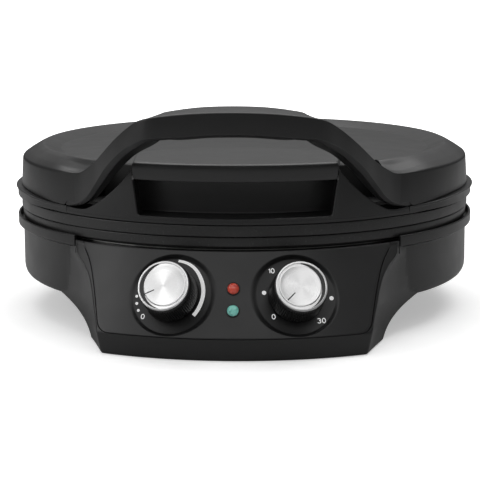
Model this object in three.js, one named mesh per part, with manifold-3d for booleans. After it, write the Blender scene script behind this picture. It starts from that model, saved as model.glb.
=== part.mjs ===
// Electric pizza maker: a round clamshell cooker with a hinged lid, an arched handle and two dials.
// Millimetres, +Z up. The front faces -Y, the table is z = 0 and the bowl's axis is x = 0.
import * as THREE from 'three';
import { mergeVertices } from 'three/addons/utils/BufferGeometryUtils.js';
import Module from 'manifold-3d';

const wasm = await Module();
wasm.setup();

// Overall rounds: the bowl, the lid and the two plates
const bowlRadius = 171;
const bowlWall = 3;
const bowlUnderside = 26;
const bowlCornerRadius = 9;
const bowlLipReach = 4;
const bowlLipRadius = bowlRadius + bowlLipReach;
const bowlLipFoot = 64;
const bowlLipTop = 73.5;
const bowlLipThickness = 2;
const bowlLedgeHeight = 68.6;
const bowlLedgeWidth = 11;
const bowlLedgeInnerRadius = bowlRadius - bowlLedgeWidth;
const bowlMouthHeight = 70;

const plateRadius = bowlRadius;
const plateRimBottom = 72.2;
const plateRimTop = 79;
const plateCavityInset = 21;
const plateCavityRadius = plateRadius - plateCavityInset;
const plateRimWidth = 14;
const plateRimInnerRadius = plateRadius - plateRimWidth;
const plateCavityDepth = 9;
const plateThickness = 4;
const plateSkirtInset = 5;
const plateSkirtRadius = plateRadius - plateSkirtInset;
const reflectorSheet = 0.8;
const reflectorGap = 1;
const reflectorFlange = 6;
const reflectorDepth = 17;
const reflectorSlope = 10;

const upperPlateOverhang = 1;
const upperPlateRadius = plateRadius + upperPlateOverhang;
const upperPlateRimTop = 87;
const upperCavityHeight = 6.4;
const upperShieldInset = 31;
const upperShieldRadius = plateRadius - upperShieldInset;
const upperShieldHeight = 14;

const beadReach = 5;
const beadRadius = bowlRadius + beadReach;
const beadProud = 1.2;
const lidBandRadius = beadRadius - beadProud;
const beadTop = 95.7;
const beadFrontTop = 89.7;
const lidRimWidth = 10;
const lidRimInnerRadius = beadRadius - lidRimWidth;

const lidWallSetback = 4.2;
const lidWallFootRadius = beadRadius - lidWallSetback;
const lidWallLean = 1.3;
const lidWallTopRadius = lidWallFootRadius - lidWallLean;
const lidWallTop = 117;
const lidShoulderWidth = 16.1;
const lidCrestRadius = lidWallTopRadius - lidShoulderWidth;
const lidCrestHeight = 126.5;
const lidSlopeWidth = 13.4;
const lidDishRadius = lidCrestRadius - lidSlopeWidth;
const lidDishHeight = 121.8;
const lidDomeHeight = 127;
const lidShell = 3;
const pocketHalfAngle = 40;
const pocketOverlap = 5;
const pocketRadius = lidDishRadius + pocketOverlap;
const pocketFloorThickness = 2.5;

// Handle: a bar in front of the lid, on two rising wings
const handleFootHalfSpan = 122;
const handleFootSetback = 51.3;
const handleFootReach = lidWallFootRadius - handleFootSetback;
const handleOverhang = 30.2;
const handleReach = lidWallFootRadius + handleOverhang;
const handleTop = 168.6;
const handleBottom = 152.2;
const handleFootBottom = 92.3;
const handleDepth = 30;
const handleCrown = 1.5;
const handleLip = 3;
const handleBevel = 4.5;
const handleCoverThickness = 1.2;
const handleCoverSetback = 9;

// Front apron, finger recess and nose
const apronSetback = 0.2;
const apronRadius = lidWallFootRadius - apronSetback;
const apronThickness = 3;
const apronHalfAngle = 45.5;
const apronTop = 125;
const apronFoot = 90;
const recessBottom = 92.4;
const recessHalfWidthTop = 71;
const recessHalfWidthBottom = 67.2;
const recessDepth = 20;
const recessWall = 2.4;
const noseSetback = 0.2;
const noseRadius = apronRadius - noseSetback;
const noseHalfWidth = 73.4;
const noseBottom = 117;
const noseShoulder = 125.4;
const noseTop = 129.4;
const noseTaper = 1;
const noseTailReach = 70;
const noseCornerRadius = 20;
const noseSkin = 3;
const noseEdge = 2;

// Front control block and its panel
const panelTopHeight = 70;
const panelTopOverhang = 3;
const panelTopRadius = bowlRadius + panelTopOverhang;
const panelFootHeight = 15.5;
const panelFootOverhang = 32;
const panelFootRadius = panelTopRadius + panelFootOverhang;
const panelTopHalfWidth = 110.5;
const panelFootHalfWidth = 94;
const panelCornerRadius = 7;
const panelThickness = 2.6;
const panelLedge = 6;
const blockUnderside = 0.3;
const blockFootHalfWidth = 91.5;
const blockRearHalfWidth = 101;
const blockRearInset = 25;
const blockRearReach = bowlRadius - blockRearInset;
const blockBackInset = 49;
const blockBackReach = bowlRadius - blockBackInset;
const blockBackTuck = 42;
const blockJoinAngle = 57;
const blockNotchAngle = 41;
const blockWall = 3;
const notchWidth = 1.2;
const notchDepth = 9.5;

// Dials, knobs and lamps
const dialAngle = 13;
const dialHeight = 41.8;
const dialDishRadius = 29.5;
const dialDishDepth = 3.6;
const dialBossWall = 2;
const knobFootRadius = 19.2;
const knobTopRadius = 18.4;
const knobHeight = 18.2;
const knobRibs = 22;
const knobRibDepth = 0.5;
const knobShell = 2.5;
const knobHubRadius = 5.5;
const capRadius = 17.8;
const capThickness = 2;
const capRingWidth = 2.2;
const capGrooveWidth = 1;
const capGrooveDepth = 0.8;
const shaftRadius = 3;
const shaftEndGap = 2;
const bushRadius = 5;
const bushReach = 1.6;
const nutRadius = 8;
const nutThickness = 2.2;
const thermostatWidth = 30;
const thermostatDepth = 20;
const timerRadius = 18;
const timerDepth = 20;
const bellRadius = 13;
const bellDepth = 6;
const lampRadius = 4.5;
const lampDome = 2.2;
const lampFlange = 1.2;
const lampStemRadius = 3.6;
const lampHolderRadius = 5.5;
const lampHolderDepth = 16;
const redLampHeight = 46.6;
const greenLampHeight = 33;

// Inside: heaters, clips and terminals
const heaterInset = 66;
const heaterRadius = plateRadius - heaterInset;
const heaterTube = 3.25;
const clipWidth = 12;
const clipThickness = 1.6;
const clipFoot = 9;
const clipCount = 3;
const terminalLength = 44;
const terminalDepth = 16;
const terminalHeight = 13;
const terminalInset = 45;
const terminalReach = bowlRadius - terminalInset;
const terminalOffset = 34;

// Underneath
const coverOpeningInset = 63;
const coverOpeningRadius = bowlRadius - coverOpeningInset;
const coverLap = 10;
const coverRadius = coverOpeningRadius + coverLap;
const coverThickness = 2.4;
const coverScrewInset = 5;
const coverScrewCircle = coverRadius - coverScrewInset;
const coverScrewCount = 4;
const screwHeadRadius = 3.6;
const screwHeadHeight = 1.8;
const screwShankRadius = 1.6;
const ventCount = 10;
const ventInset = 40;
const ventRadius = coverRadius - ventInset;
const ventLength = 30;
const ventWidth = 4;
const legAcross = 75;
const legInset = 51;
const legBack = bowlRadius - legInset;
const legFootRadius = 12;
const legTopRadius = 16;
const padThickness = 1.3;
const padRadius = 9.5;
const frontPadAcross = 72;
const frontPadInset = 28;
const frontPadReach = panelFootRadius - frontPadInset;

// Hinge and cord gland at the rear
const hingeOverhang = 20;
const hingeReach = bowlRadius + hingeOverhang;
const hingeHeight = 80;
const hingeKnuckleRadius = 9;
const hingePinRadius = 3;
const hingePinHeadRadius = 5;
const hingePinHeadThickness = 2;
const hingeBracketHalfWidth = 28;
const hingeBracketFoot = 40;
const hingeBracketInset = 11;
const hingeBracketRoot = bowlRadius - hingeBracketInset;
const hingeArmWidth = 16;
const hingeArmTop = 112;
const hingeArmSlope = 10;
const glandAngle = 26;
const glandHeight = 46;
const glandRadius = 7;
const glandStemRadius = 4.6;
const glandBore = 3.4;
const glandReach = 7;
const glandFlange = 2;

// Clearances and the shared mesh steps
const panelColumns = 14;
const flankSteps = 6;
const tailSteps = 8;
const apronSteps = 28;
const clearance = 0.3;
const runningClearance = 0.35;
const overrun = 20;
const ringSteps = 42;
const heaterSteps = 36;
const heaterSides = 6;
const dialSteps = 24;
const smallSteps = 16;
const tinySteps = 10;

const degree = Math.PI / 180;
const eighthTurn = Math.PI / 4;
const half = (value) => value / 2;
const mix = (a, b, t) => a + (b - a) * t;
const point = (x, y) => new THREE.Vector2(x, y);

// Materials
const moulded = { color: 0x2a2a2b, roughness: 0.5, metalness: 0 };
const materialKinds = {
  blackPlastic: moulded,
  panelPlastic: { ...moulded, roughness: 0.45 },
  coating: { color: 0x202021, roughness: 0.42, metalness: 0.1 },
  steel: { color: 0x9a9a98, roughness: 0.35, metalness: 1 },
  aluminium: { color: 0xd6d7d8, roughness: 0.28, metalness: 1 },
  heater: { color: 0x5c5450, roughness: 0.6, metalness: 0.8 },
  rubber: { color: 0x161616, roughness: 0.9, metalness: 0 },
  redLens: { color: 0xb5251c, roughness: 0.2, metalness: 0 },
  greenLens: { color: 0x2f8577, roughness: 0.2, metalness: 0 },
  palePlastic: { color: 0xcfcabd, roughness: 0.5, metalness: 0 },
};
const materials = Object.fromEntries(
  Object.entries(materialKinds).map(([name, look]) => [name, new THREE.MeshStandardMaterial(look)]),
);

// Turn a closed mesh into a solid, and a solid back into a mesh
function toSolid(geometry) {
  const bare = geometry.clone();
  bare.deleteAttribute('normal');
  bare.deleteAttribute('uv');
  const merged = mergeVertices(bare);
  return new wasm.Manifold(new wasm.Mesh({
    numProp: 3,
    vertProperties: new Float32Array(merged.attributes.position.array),
    triVerts: new Uint32Array(merged.index.array),
  }));
}

function toGeometry(solid) {
  const mesh = solid.getMesh();
  const geometry = new THREE.BufferGeometry();
  geometry.setAttribute('position', new THREE.BufferAttribute(new Float32Array(mesh.vertProperties), 3));
  geometry.setIndex(new THREE.BufferAttribute(new Uint32Array(mesh.triVerts), 1));
  geometry.computeVertexNormals();
  return geometry;
}

const join = (first, ...others) => others.reduce((sum, solid) => sum.add(solid), first);
const cut = (first, ...others) => others.reduce((rest, solid) => rest.subtract(solid), first);

// A solid of revolution about +Z from a closed outline of [radius, height] pairs
function revolved(outline, steps = ringSteps) {
  const points = outline.map(([radius, height]) => point(radius, height));
  const onAxis = points[0].x === 0 && points[points.length - 1].x === 0;
  if (!onAxis) points.push(points[0].clone());
  if (signedArea(points) < 0) points.reverse();
  return toSolid(new THREE.LatheGeometry(points, steps).rotateX(half(Math.PI)));
}

function signedArea(points) {
  return points.reduce((sum, a, i) => {
    const b = points[(i + 1) % points.length];
    return sum + half(a.x * b.y - b.x * a.y);
  }, 0);
}

// A plain cylinder about +Z between two heights
function cylinder(radius, low, high, steps = smallSteps, topRadius = radius) {
  return revolved([[0, low], [radius, low], [topRadius, high], [0, high]], steps);
}

// A solid through a list of closed sections with the same number of points
function lofted(sections, capAxes = ['x', 'y']) {
  const count = sections[0].length;
  const positions = sections.flat().flatMap((p) => [p.x, p.y, p.z]);
  const index = [];
  for (let ring = 0; ring + 1 < sections.length; ring += 1) {
    for (let i = 0; i < count; i += 1) {
      const next = (i + 1) % count;
      const a = ring * count + i;
      const b = ring * count + next;
      index.push(a, b, b + count, a, b + count, a + count);
    }
  }
  const capOf = (ring, flip) => {
    const flat = sections[ring].map((p) => point(p[capAxes[0]], p[capAxes[1]]));
    const clockwise = THREE.ShapeUtils.isClockWise(flat);
    THREE.ShapeUtils.triangulateShape(flat, []).forEach(([a, b, c]) => {
      const corners = [a, b, c].map((k) => ring * count + k);
      if (flip !== clockwise) corners.reverse();
      index.push(...corners);
    });
  };
  capOf(0, true);
  capOf(sections.length - 1, false);
  const geometry = new THREE.BufferGeometry();
  geometry.setAttribute('position', new THREE.Float32BufferAttribute(positions, 3));
  geometry.setIndex(index);
  return outwards(geometry);
}

// Flip a closed mesh whose faces point in, so that every loft may list its points either way round
function outwards(geometry) {
  const p = geometry.attributes.position;
  const index = geometry.index.array;
  const [a, b, c] = [new THREE.Vector3(), new THREE.Vector3(), new THREE.Vector3()];
  let volume = 0;
  for (let i = 0; i < index.length; i += 3) {
    a.fromBufferAttribute(p, index[i]);
    b.fromBufferAttribute(p, index[i + 1]);
    c.fromBufferAttribute(p, index[i + 2]);
    volume += a.dot(b.cross(c));
  }
  if (volume < 0) geometry.setIndex(Array.from(index).reverse());
  return toSolid(geometry);
}

// A closed plate between a grid of front points and a grid of back points
function plated(front, back) {
  const rows = front.length;
  const columns = front[0].length;
  const positions = [...front.flat(), ...back.flat()].flatMap((p) => [p.x, p.y, p.z]);
  const frontAt = (row, column) => row * columns + column;
  const backAt = (row, column) => rows * columns + frontAt(row, column);
  const index = [];
  const quad = (a, b, c, d) => index.push(a, b, c, a, c, d);
  for (let row = 0; row + 1 < rows; row += 1) {
    for (let column = 0; column + 1 < columns; column += 1) {
      quad(frontAt(row, column), frontAt(row, column + 1),
        frontAt(row + 1, column + 1), frontAt(row + 1, column));
      quad(backAt(row, column), backAt(row + 1, column),
        backAt(row + 1, column + 1), backAt(row, column + 1));
    }
    quad(frontAt(row, 0), frontAt(row + 1, 0), backAt(row + 1, 0), backAt(row, 0));
    const last = columns - 1;
    quad(frontAt(row + 1, last), frontAt(row, last), backAt(row, last), backAt(row + 1, last));
  }
  for (let column = 0; column + 1 < columns; column += 1) {
    const top = rows - 1;
    quad(frontAt(0, column + 1), frontAt(0, column), backAt(0, column), backAt(0, column + 1));
    quad(frontAt(top, column), frontAt(top, column + 1), backAt(top, column + 1), backAt(top, column));
  }
  const geometry = new THREE.BufferGeometry();
  geometry.setAttribute('position', new THREE.Float32BufferAttribute(positions, 3));
  geometry.setIndex(index);
  return outwards(geometry);
}

// A plan outline pulled up between two heights
function prism(outline, low, high) {
  const level = (z) => outline.map(([x, y]) => new THREE.Vector3(x, y, z));
  return lofted([level(low), level(high)]);
}

// A side outline of [y, z] pairs pulled across between two widths
function across(outline, left, right) {
  const slice = (x) => outline.map(([y, z]) => new THREE.Vector3(x, y, z));
  return lofted([slice(left), slice(right)], ['y', 'z']);
}

// A smooth curve through rows of numbers, read at a share of its first column
function tableReader(rows) {
  const curves = rows[0].slice(1).map((_, column) => (
    new THREE.CatmullRomCurve3(
      rows.map((row) => new THREE.Vector3(row[0], row[column + 1], 0)), false, 'centripetal',
    )
  ));
  return (share) => curves.map((curve) => {
    let low = 0;
    let high = 1;
    for (let step = 0; step < 24; step += 1) {
      const middle = half(low + high);
      if (curve.getPoint(middle).x < share) low = middle;
      else high = middle;
    }
    return curve.getPoint(half(low + high)).y;
  });
}

// An arc of plan points about the bowl's axis, from one angle off the front to another, in degrees
function frontArc(radius, from, to, steps) {
  return Array.from({ length: steps + 1 }, (_, i) => {
    const angle = mix(from, to, i / steps) * degree;
    return [radius * Math.sin(angle), -radius * Math.cos(angle)];
  });
}

// A wedge of a round wall, as wide as an angle each side of the front
function frontWedge(innerRadius, outerRadius, halfAngle, low, high, steps = ringSteps / 3) {
  return prism([
    ...frontArc(outerRadius, -halfAngle, halfAngle, steps),
    ...frontArc(innerRadius, halfAngle, -halfAngle, steps),
  ], low, high);
}

const group = new THREE.Group();
const machine = new THREE.Group();
group.add(machine);

function addPiece(name, solid, material, placement) {
  const mesh = new THREE.Mesh(toGeometry(solid), material);
  mesh.name = name;
  if (placement) placement(mesh);
  machine.add(mesh);
  return mesh;
}

// Cone of the control panel: its radius at a height, and the way it leans
const panelRise = panelTopHeight - panelFootHeight;
const panelRun = panelFootRadius - panelTopRadius;
const panelSlant = Math.hypot(panelRise, panelRun);
const panelOut = panelRise / panelSlant;
const panelUp = panelRun / panelSlant;
const coneRadius = (z) => panelFootRadius - panelRun * (z - panelFootHeight) / panelRise;
const blockRadius = (z) => Math.min(panelFootRadius, coneRadius(z));

// Side edge of the panel: shares of its height, and of the way from its foot's to its top's half width
const panelEdgeShares = [[0, 0], [0.1, 0.03], [0.3, 0.145], [0.47, 0.25], [0.74, 0.475], [0.88, 0.7], [1, 1]];
const panelEdgeShare = tableReader(panelEdgeShares);
const panelEdge = (z) => {
  const [share] = panelEdgeShare((z - panelFootHeight) / panelRise);
  return mix(panelFootHalfWidth, panelTopHalfWidth, share);
};

// Half width of the panel at a height, with round lower corners
function panelHalfWidth(z, inset) {
  const edge = panelEdge(z) - inset;
  const corner = panelCornerRadius - half(inset);
  const drop = Math.max(0, panelFootHeight + (inset + corner) * panelOut - z) / panelOut;
  return edge - corner + Math.sqrt(Math.max(0, corner ** 2 - drop ** 2));
}

// A patch of the cone between two depths along its normal, inset all round from the panel's outline
function panelPatch(inset, depthFrom, depthTo) {
  const low = panelFootHeight + inset * panelOut;
  const high = panelTopHeight - inset * panelOut;
  const corner = (panelCornerRadius - half(inset)) * panelOut;
  const cornerShares = [0, 0.07, 0.25, 0.55, 1];
  const sideShares = [0.2, 0.4, 0.6, 0.75, 0.88, 1];
  const heights = [
    ...cornerShares.map((share) => low + corner * share),
    ...sideShares.map((share) => mix(low + corner, high, share)),
  ];
  const grid = (depth) => heights.map((z) => {
    const spread = Math.asin(panelHalfWidth(z, inset) / coneRadius(z));
    return Array.from({ length: panelColumns + 1 }, (_, i) => {
      const angle = mix(-spread, spread, i / panelColumns);
      const radius = coneRadius(z) + depth * panelOut;
      return new THREE.Vector3(
        radius * Math.sin(angle), -radius * Math.cos(angle), z + depth * panelUp,
      );
    });
  });
  return plated(grid(depthTo), grid(depthFrom));
}

// Put something modelled about +Z on the cone: +Z becomes the cone's normal at a dial or lamp
function onPanel(angle, height) {
  const outAxis = new THREE.Vector3(
    Math.sin(angle * degree) * panelOut, -Math.cos(angle * degree) * panelOut, panelUp,
  );
  const acrossAxis = new THREE.Vector3(Math.cos(angle * degree), Math.sin(angle * degree), 0);
  const upAxis = new THREE.Vector3().crossVectors(outAxis, acrossAxis);
  const radius = coneRadius(height);
  return new THREE.Matrix4().makeBasis(acrossAxis, upAxis, outAxis).setPosition(
    radius * Math.sin(angle * degree), -radius * Math.cos(angle * degree), height,
  );
}

function placedSolid(solid, matrix) {
  return toSolid(toGeometry(solid).applyMatrix4(matrix));
}

const placeBy = (matrix) => (mesh) => matrix.decompose(mesh.position, mesh.quaternion, mesh.scale);

const bossBack = -dialDishDepth - dialBossWall;
const dials = [
  { name: 'temperature', angle: -dialAngle },
  { name: 'timer', angle: dialAngle },
];
const lamps = [
  { name: 'red', height: redLampHeight, material: materials.redLens },
  { name: 'green', height: greenLampHeight, material: materials.greenLens },
];

// Bowl of the base, from its outline, and the outer form alone for cuts by what stands against it
const bowlOuterOutline = (grow) => [
  [0, bowlUnderside - grow],
  [bowlRadius - bowlCornerRadius + grow, bowlUnderside - grow],
  [bowlRadius - bowlCornerRadius * (1 - Math.sin(eighthTurn)) + grow,
    bowlUnderside + bowlCornerRadius * (1 - Math.cos(eighthTurn)) - grow],
  [bowlRadius + grow, bowlUnderside + bowlCornerRadius],
  [bowlRadius + grow, bowlLipFoot - grow],
  [bowlLipRadius + grow, bowlLipFoot + bowlLipThickness * 2 - grow],
  [bowlLipRadius + grow, bowlLipTop - bowlLipThickness],
  [bowlLipRadius - half(bowlLipThickness) + grow, bowlLipTop + grow],
];

const bowlBody = () => revolved([
  ...bowlOuterOutline(0),
  [bowlLipRadius - bowlLipThickness, bowlLipTop],
  [bowlLipRadius - bowlLipThickness, bowlLedgeHeight],
  [0, bowlLedgeHeight],
]);

const bowlHollow = () => revolved([
  [0, bowlUnderside + bowlWall],
  [bowlRadius - bowlCornerRadius - bowlWall, bowlUnderside + bowlWall],
  [bowlRadius - bowlWall, bowlUnderside + bowlCornerRadius],
  [bowlRadius - bowlWall, bowlLipFoot],
  [bowlLedgeInnerRadius, bowlLedgeHeight - bowlWall],
  [bowlLedgeInnerRadius, bowlLedgeHeight + overrun],
  [0, bowlLedgeHeight + overrun],
]);

// Plan of the control block at a height: front arc, concave flank and a plain back
const flareShares = [
  [0, 0.05], [0.3, 0.12], [0.55, 0.22], [0.8, 0.39], [1, 0.6], [1.2, 0.85], [1.4, 1], [3, 1],
];
const flare = tableReader(flareShares);

// Width of the block's border beside the panel, in mm, at shares of the panel's height
const blockBorderRows = [
  [0, 1], [0.3, 1.8], [0.46, 2], [0.62, 3], [0.75, 5.7], [0.84, 8.5], [0.93, 6.5], [1, 3.5],
];
const blockBorder = tableReader(blockBorderRows);

function blockOutline(z, inset) {
  const [spread] = flare(z / bowlUnderside);
  const radius = blockRadius(z) - inset;
  const [border] = blockBorder((z - panelFootHeight) / panelRise);
  const edge = mix(blockFootHalfWidth, panelEdge(z) + border, Math.min(1, z / panelFootHeight)) - inset;
  const edgeAngle = Math.asin(edge / radius) / degree;
  const join = blockJoinAngle * degree;
  const notch = blockNotchAngle * degree;
  const joinRadius = bowlRadius - half(bowlWall);
  const rear = [
    mix(blockRearHalfWidth, joinRadius * Math.sin(join), spread) - inset,
    -mix(blockRearReach, joinRadius * Math.cos(join), spread) + half(inset),
  ];
  const elbow = [
    mix(half(blockFootHalfWidth + blockRearHalfWidth), bowlRadius * Math.sin(notch), spread) - inset,
    -mix(half(blockRearReach + radius * Math.cos(edgeAngle * degree)),
      bowlRadius * Math.cos(notch), spread) + half(inset),
  ];
  const front = frontArc(radius, 0, edgeAngle, half(panelColumns));
  const corner = front[front.length - 1];
  const flank = new THREE.QuadraticBezierCurve(point(...corner), point(...elbow), point(...rear));
  const side = flank.getPoints(flankSteps).slice(1).map((p) => [p.x, p.y]);
  const back = [[rear[0] - mix(blockWall * 4, blockBackTuck, spread), -blockBackReach - inset]];
  const right = [...front, ...side, ...back];
  const left = right.slice(1).reverse().map(([x, y]) => [-x, y]);
  return [...right, ...left];
}

function blockBody(inset, low, high) {
  const heightShares = [0, 0.08, 0.2, 0.27, 0.33, 0.4, 0.47, 0.56, 0.66, 0.76, 0.83, 0.88, 0.94, 1];
  return lofted(heightShares.map((share) => {
    const z = mix(low, high, share);
    return blockOutline(z, inset).map(([x, y]) => new THREE.Vector3(x, y, z));
  }));
}

function baseHousing() {
  const blockTop = bowlMouthHeight;
  const window = panelPatch(panelLedge, -panelThickness - overrun, overrun);
  const seat = panelPatch(-clearance, -panelThickness - clearance, overrun);
  const blockRoom = cut(
    blockBody(blockWall + panelThickness, blockUnderside + blockWall, blockTop - blockWall),
    cylinder(coverOpeningRadius + blockWall, 0, bowlLedgeHeight, ringSteps),
  );
  const frontLip = frontWedge(
    plateRadius + clearance, bowlLipRadius + overrun, blockNotchAngle, blockTop, blockTop + overrun,
  );
  const notches = [-1, 1].map((side) => {
    const angle = side * blockNotchAngle;
    return prism([
      ...frontArc(bowlLipRadius + overrun, angle, angle + side * notchWidth / bowlRadius / degree, 1),
      ...frontArc(bowlRadius - half(bowlWall), angle + side * notchWidth / bowlRadius / degree, angle, 1),
    ], blockTop - notchDepth, blockTop + overrun);
  });
  const glandHole = placedSolid(
    cylinder(glandStemRadius + clearance, -overrun, overrun, tinySteps), glandMatrix(),
  );
  const bossRooms = dials.map(({ angle }) => placedSolid(
    cylinder(dialDishRadius + dialBossWall + clearance, bossBack - clearance, overrun, dialSteps),
    onPanel(angle, dialHeight),
  ));
  const padSeats = [-1, 1].map((side) => (
    cylinder(padRadius + clearance, 0, padThickness + clearance)
      .translate([side * frontPadAcross, -frontPadReach, 0])
  ));
  return cut(
    join(bowlBody(), blockBody(0, blockUnderside, blockTop)),
    ...padSeats,
    ...bossRooms,
    bowlHollow(),
    cylinder(bowlLipRadius - bowlLipThickness, bowlLedgeHeight, bowlLipTop + overrun, ringSteps),
    blockRoom,
    window,
    seat,
    frontLip,
    ...notches,
    glandHole,
    cylinder(coverOpeningRadius, 0, bowlLedgeHeight, ringSteps),
  );
}

function glandMatrix() {
  const angle = glandAngle * degree;
  const outAxis = new THREE.Vector3(Math.sin(angle), Math.cos(angle), 0);
  const acrossAxis = new THREE.Vector3(-Math.cos(angle), Math.sin(angle), 0);
  const upAxis = new THREE.Vector3().crossVectors(outAxis, acrossAxis);
  return new THREE.Matrix4().makeBasis(acrossAxis, upAxis, outAxis).setPosition(
    bowlRadius * Math.sin(angle), bowlRadius * Math.cos(angle), glandHeight,
  );
}

function controlPanel() {
  const bosses = dials.map(({ angle }) => placedSolid(
    cylinder(dialDishRadius + dialBossWall, bossBack, -panelThickness, dialSteps),
    onPanel(angle, dialHeight),
  ));
  const dishes = dials.map(({ angle }) => placedSolid(
    join(
      cylinder(dialDishRadius, -dialDishDepth, overrun, dialSteps),
      cylinder(bushRadius + clearance, -overrun, overrun),
    ),
    onPanel(angle, dialHeight),
  ));
  const lampHoles = lamps.map(({ height }) => placedSolid(
    cylinder(lampStemRadius + clearance, -overrun, overrun, tinySteps), onPanel(0, height),
  ));
  return cut(join(panelPatch(0, -panelThickness, 0), ...bosses), ...dishes, ...lampHoles);
}

// The lower and the upper baking plate
function lowerPlate() {
  const trayFloor = plateRimTop - plateCavityDepth;
  const seat = bowlLedgeHeight + clearance * 2 + reflectorSheet;
  return revolved([
    [0, trayFloor],
    [plateCavityRadius, trayFloor],
    [plateRimInnerRadius, plateRimTop],
    [plateRadius, plateRimTop],
    [plateRadius, plateRimBottom],
    [plateSkirtRadius, plateRimBottom],
    [plateSkirtRadius, seat],
    [plateRimInnerRadius, seat],
    [plateCavityRadius, trayFloor - plateThickness],
    [0, trayFloor - plateThickness],
  ]);
}

const upperCeiling = plateRimTop + clearance + upperCavityHeight;
const upperPlateTop = upperCeiling + plateThickness;

function upperPlate() {
  const rimBottom = plateRimTop + clearance;
  return revolved([
    [0, upperCeiling],
    [plateCavityRadius, upperCeiling],
    [plateRimInnerRadius, rimBottom],
    [upperPlateRadius, rimBottom],
    [upperPlateRadius, upperPlateRimTop],
    [plateRimInnerRadius, upperPlateRimTop],
    [plateCavityRadius, upperPlateTop],
    [0, upperPlateTop],
  ]);
}

function lowerReflector() {
  const flangeBottom = bowlLedgeHeight + clearance;
  const flangeTop = flangeBottom + reflectorSheet;
  const reflectorRadius = plateRimInnerRadius + reflectorGap;
  const inner = reflectorRadius - reflectorSlope;
  return revolved([
    [0, flangeBottom - reflectorDepth],
    [inner, flangeBottom - reflectorDepth],
    [reflectorRadius, flangeBottom],
    [reflectorRadius + reflectorFlange, flangeBottom],
    [reflectorRadius + reflectorFlange, flangeTop],
    [reflectorRadius - half(reflectorSheet), flangeTop],
    [inner - half(reflectorSheet), flangeTop - reflectorDepth],
    [0, flangeTop - reflectorDepth],
  ]);
}

function upperReflector() {
  const bottom = upperPlateTop + clearance;
  const top = bottom + upperShieldHeight;
  return revolved([
    [0, top - reflectorSheet],
    [upperShieldRadius - reflectorSlope, top - reflectorSheet],
    [upperShieldRadius - reflectorSheet, bottom + reflectorSheet],
    [upperShieldRadius - reflectorSheet, bottom],
    [upperShieldRadius + reflectorGap * 2, bottom],
    [upperShieldRadius + reflectorGap * 2, bottom + reflectorSheet],
    [upperShieldRadius, bottom + reflectorSheet * 2],
    [upperShieldRadius - reflectorSlope + reflectorSheet, top],
    [0, top],
  ]);
}

// A heater is a ring of tube with a gap at the rear for its two ends
function heater() {
  const ring = new THREE.TorusGeometry(heaterRadius, heaterTube, heaterSides, heaterSteps);
  const gap = prism([
    [-heaterTube * 2, heaterRadius - heaterTube * 3], [heaterTube * 2, heaterRadius - heaterTube * 3],
    [heaterTube * 2, heaterRadius + heaterTube * 3], [-heaterTube * 2, heaterRadius + heaterTube * 3],
  ], -overrun, overrun);
  return cut(toSolid(ring), gap);
}

// A clip is a strap over the tube, in the plane of the radius, with a foot on each side
function clip() {
  const inner = heaterTube + clearance * 2;
  const outer = inner + clipThickness;
  return across([
    [-outer - clipFoot, heaterTube], [-inner, heaterTube], [-inner, -inner], [inner, -inner],
    [inner, heaterTube], [outer + clipFoot, heaterTube], [outer + clipFoot, heaterTube - clipThickness],
    [outer, heaterTube - clipThickness], [outer, -outer], [-outer, -outer],
    [-outer, heaterTube - clipThickness], [-outer - clipFoot, heaterTube - clipThickness],
  ], -half(clipWidth), half(clipWidth));
}

// The lid's rim stops short of the handle's feet, which stand on its lower front stretch
const handleFootAngle = Math.atan2(handleFootHalfSpan, handleFootReach) / degree + clearance;

// The lid's rim: a plain band under a thin bead, lower across the front where the apron stands on it
function lidRim() {
  const low = upperPlateRimTop + clearance;
  const beadShares = [0, 0.12, 0.78, 0.84, 0.95, 1];
  const level = (i) => mix(low, beadTop, beadShares[i]);
  const ring = revolved([
    [lidRimInnerRadius, level(0)],
    [upperPlateRadius, level(0)],
    [lidBandRadius, level(1)],
    [lidBandRadius, level(2)],
    [beadRadius, level(3)],
    [beadRadius, level(4)],
    [beadRadius - clearance * 3, level(5)],
    [lidRimInnerRadius, level(5)],
  ]);
  return cut(ring, frontWedge(
    lidRimInnerRadius - overrun, beadRadius + overrun, handleFootAngle, beadFrontTop, beadTop + overrun,
  ));
}

// The lid's round shell, and the outline of its upper side for what lies on it
const domeShares = { radius: 0.7, height: 0.55 };
const shoulderShares = { radius: 0.7, height: 0.6 };

const lidTopOutline = (raise) => [
  [0, lidDomeHeight + raise],
  [lidDishRadius / 3, lidDomeHeight - clearance + raise],
  [lidDishRadius * domeShares.radius, mix(lidDishHeight, lidDomeHeight, domeShares.height) + raise],
  [lidDishRadius, lidDishHeight + raise],
];

function lidShellBody() {
  const foot = beadTop + clearance;
  return revolved([
    ...lidTopOutline(0),
    [lidCrestRadius - lidShell, lidCrestHeight - clearance],
    [lidCrestRadius, lidCrestHeight],
    [mix(lidCrestRadius, lidWallTopRadius, shoulderShares.radius),
      mix(lidCrestHeight, lidWallTop, shoulderShares.height)],
    [lidWallTopRadius, lidWallTop],
    [lidWallFootRadius, foot],
    [lidWallFootRadius - lidShell, foot],
    [lidWallTopRadius - lidShell, lidWallTop - lidShell],
    [lidCrestRadius, lidCrestHeight - lidShell],
    [lidDishRadius, lidDishHeight - lidShell],
    [0, lidDomeHeight - lidShell],
  ]);
}

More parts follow.
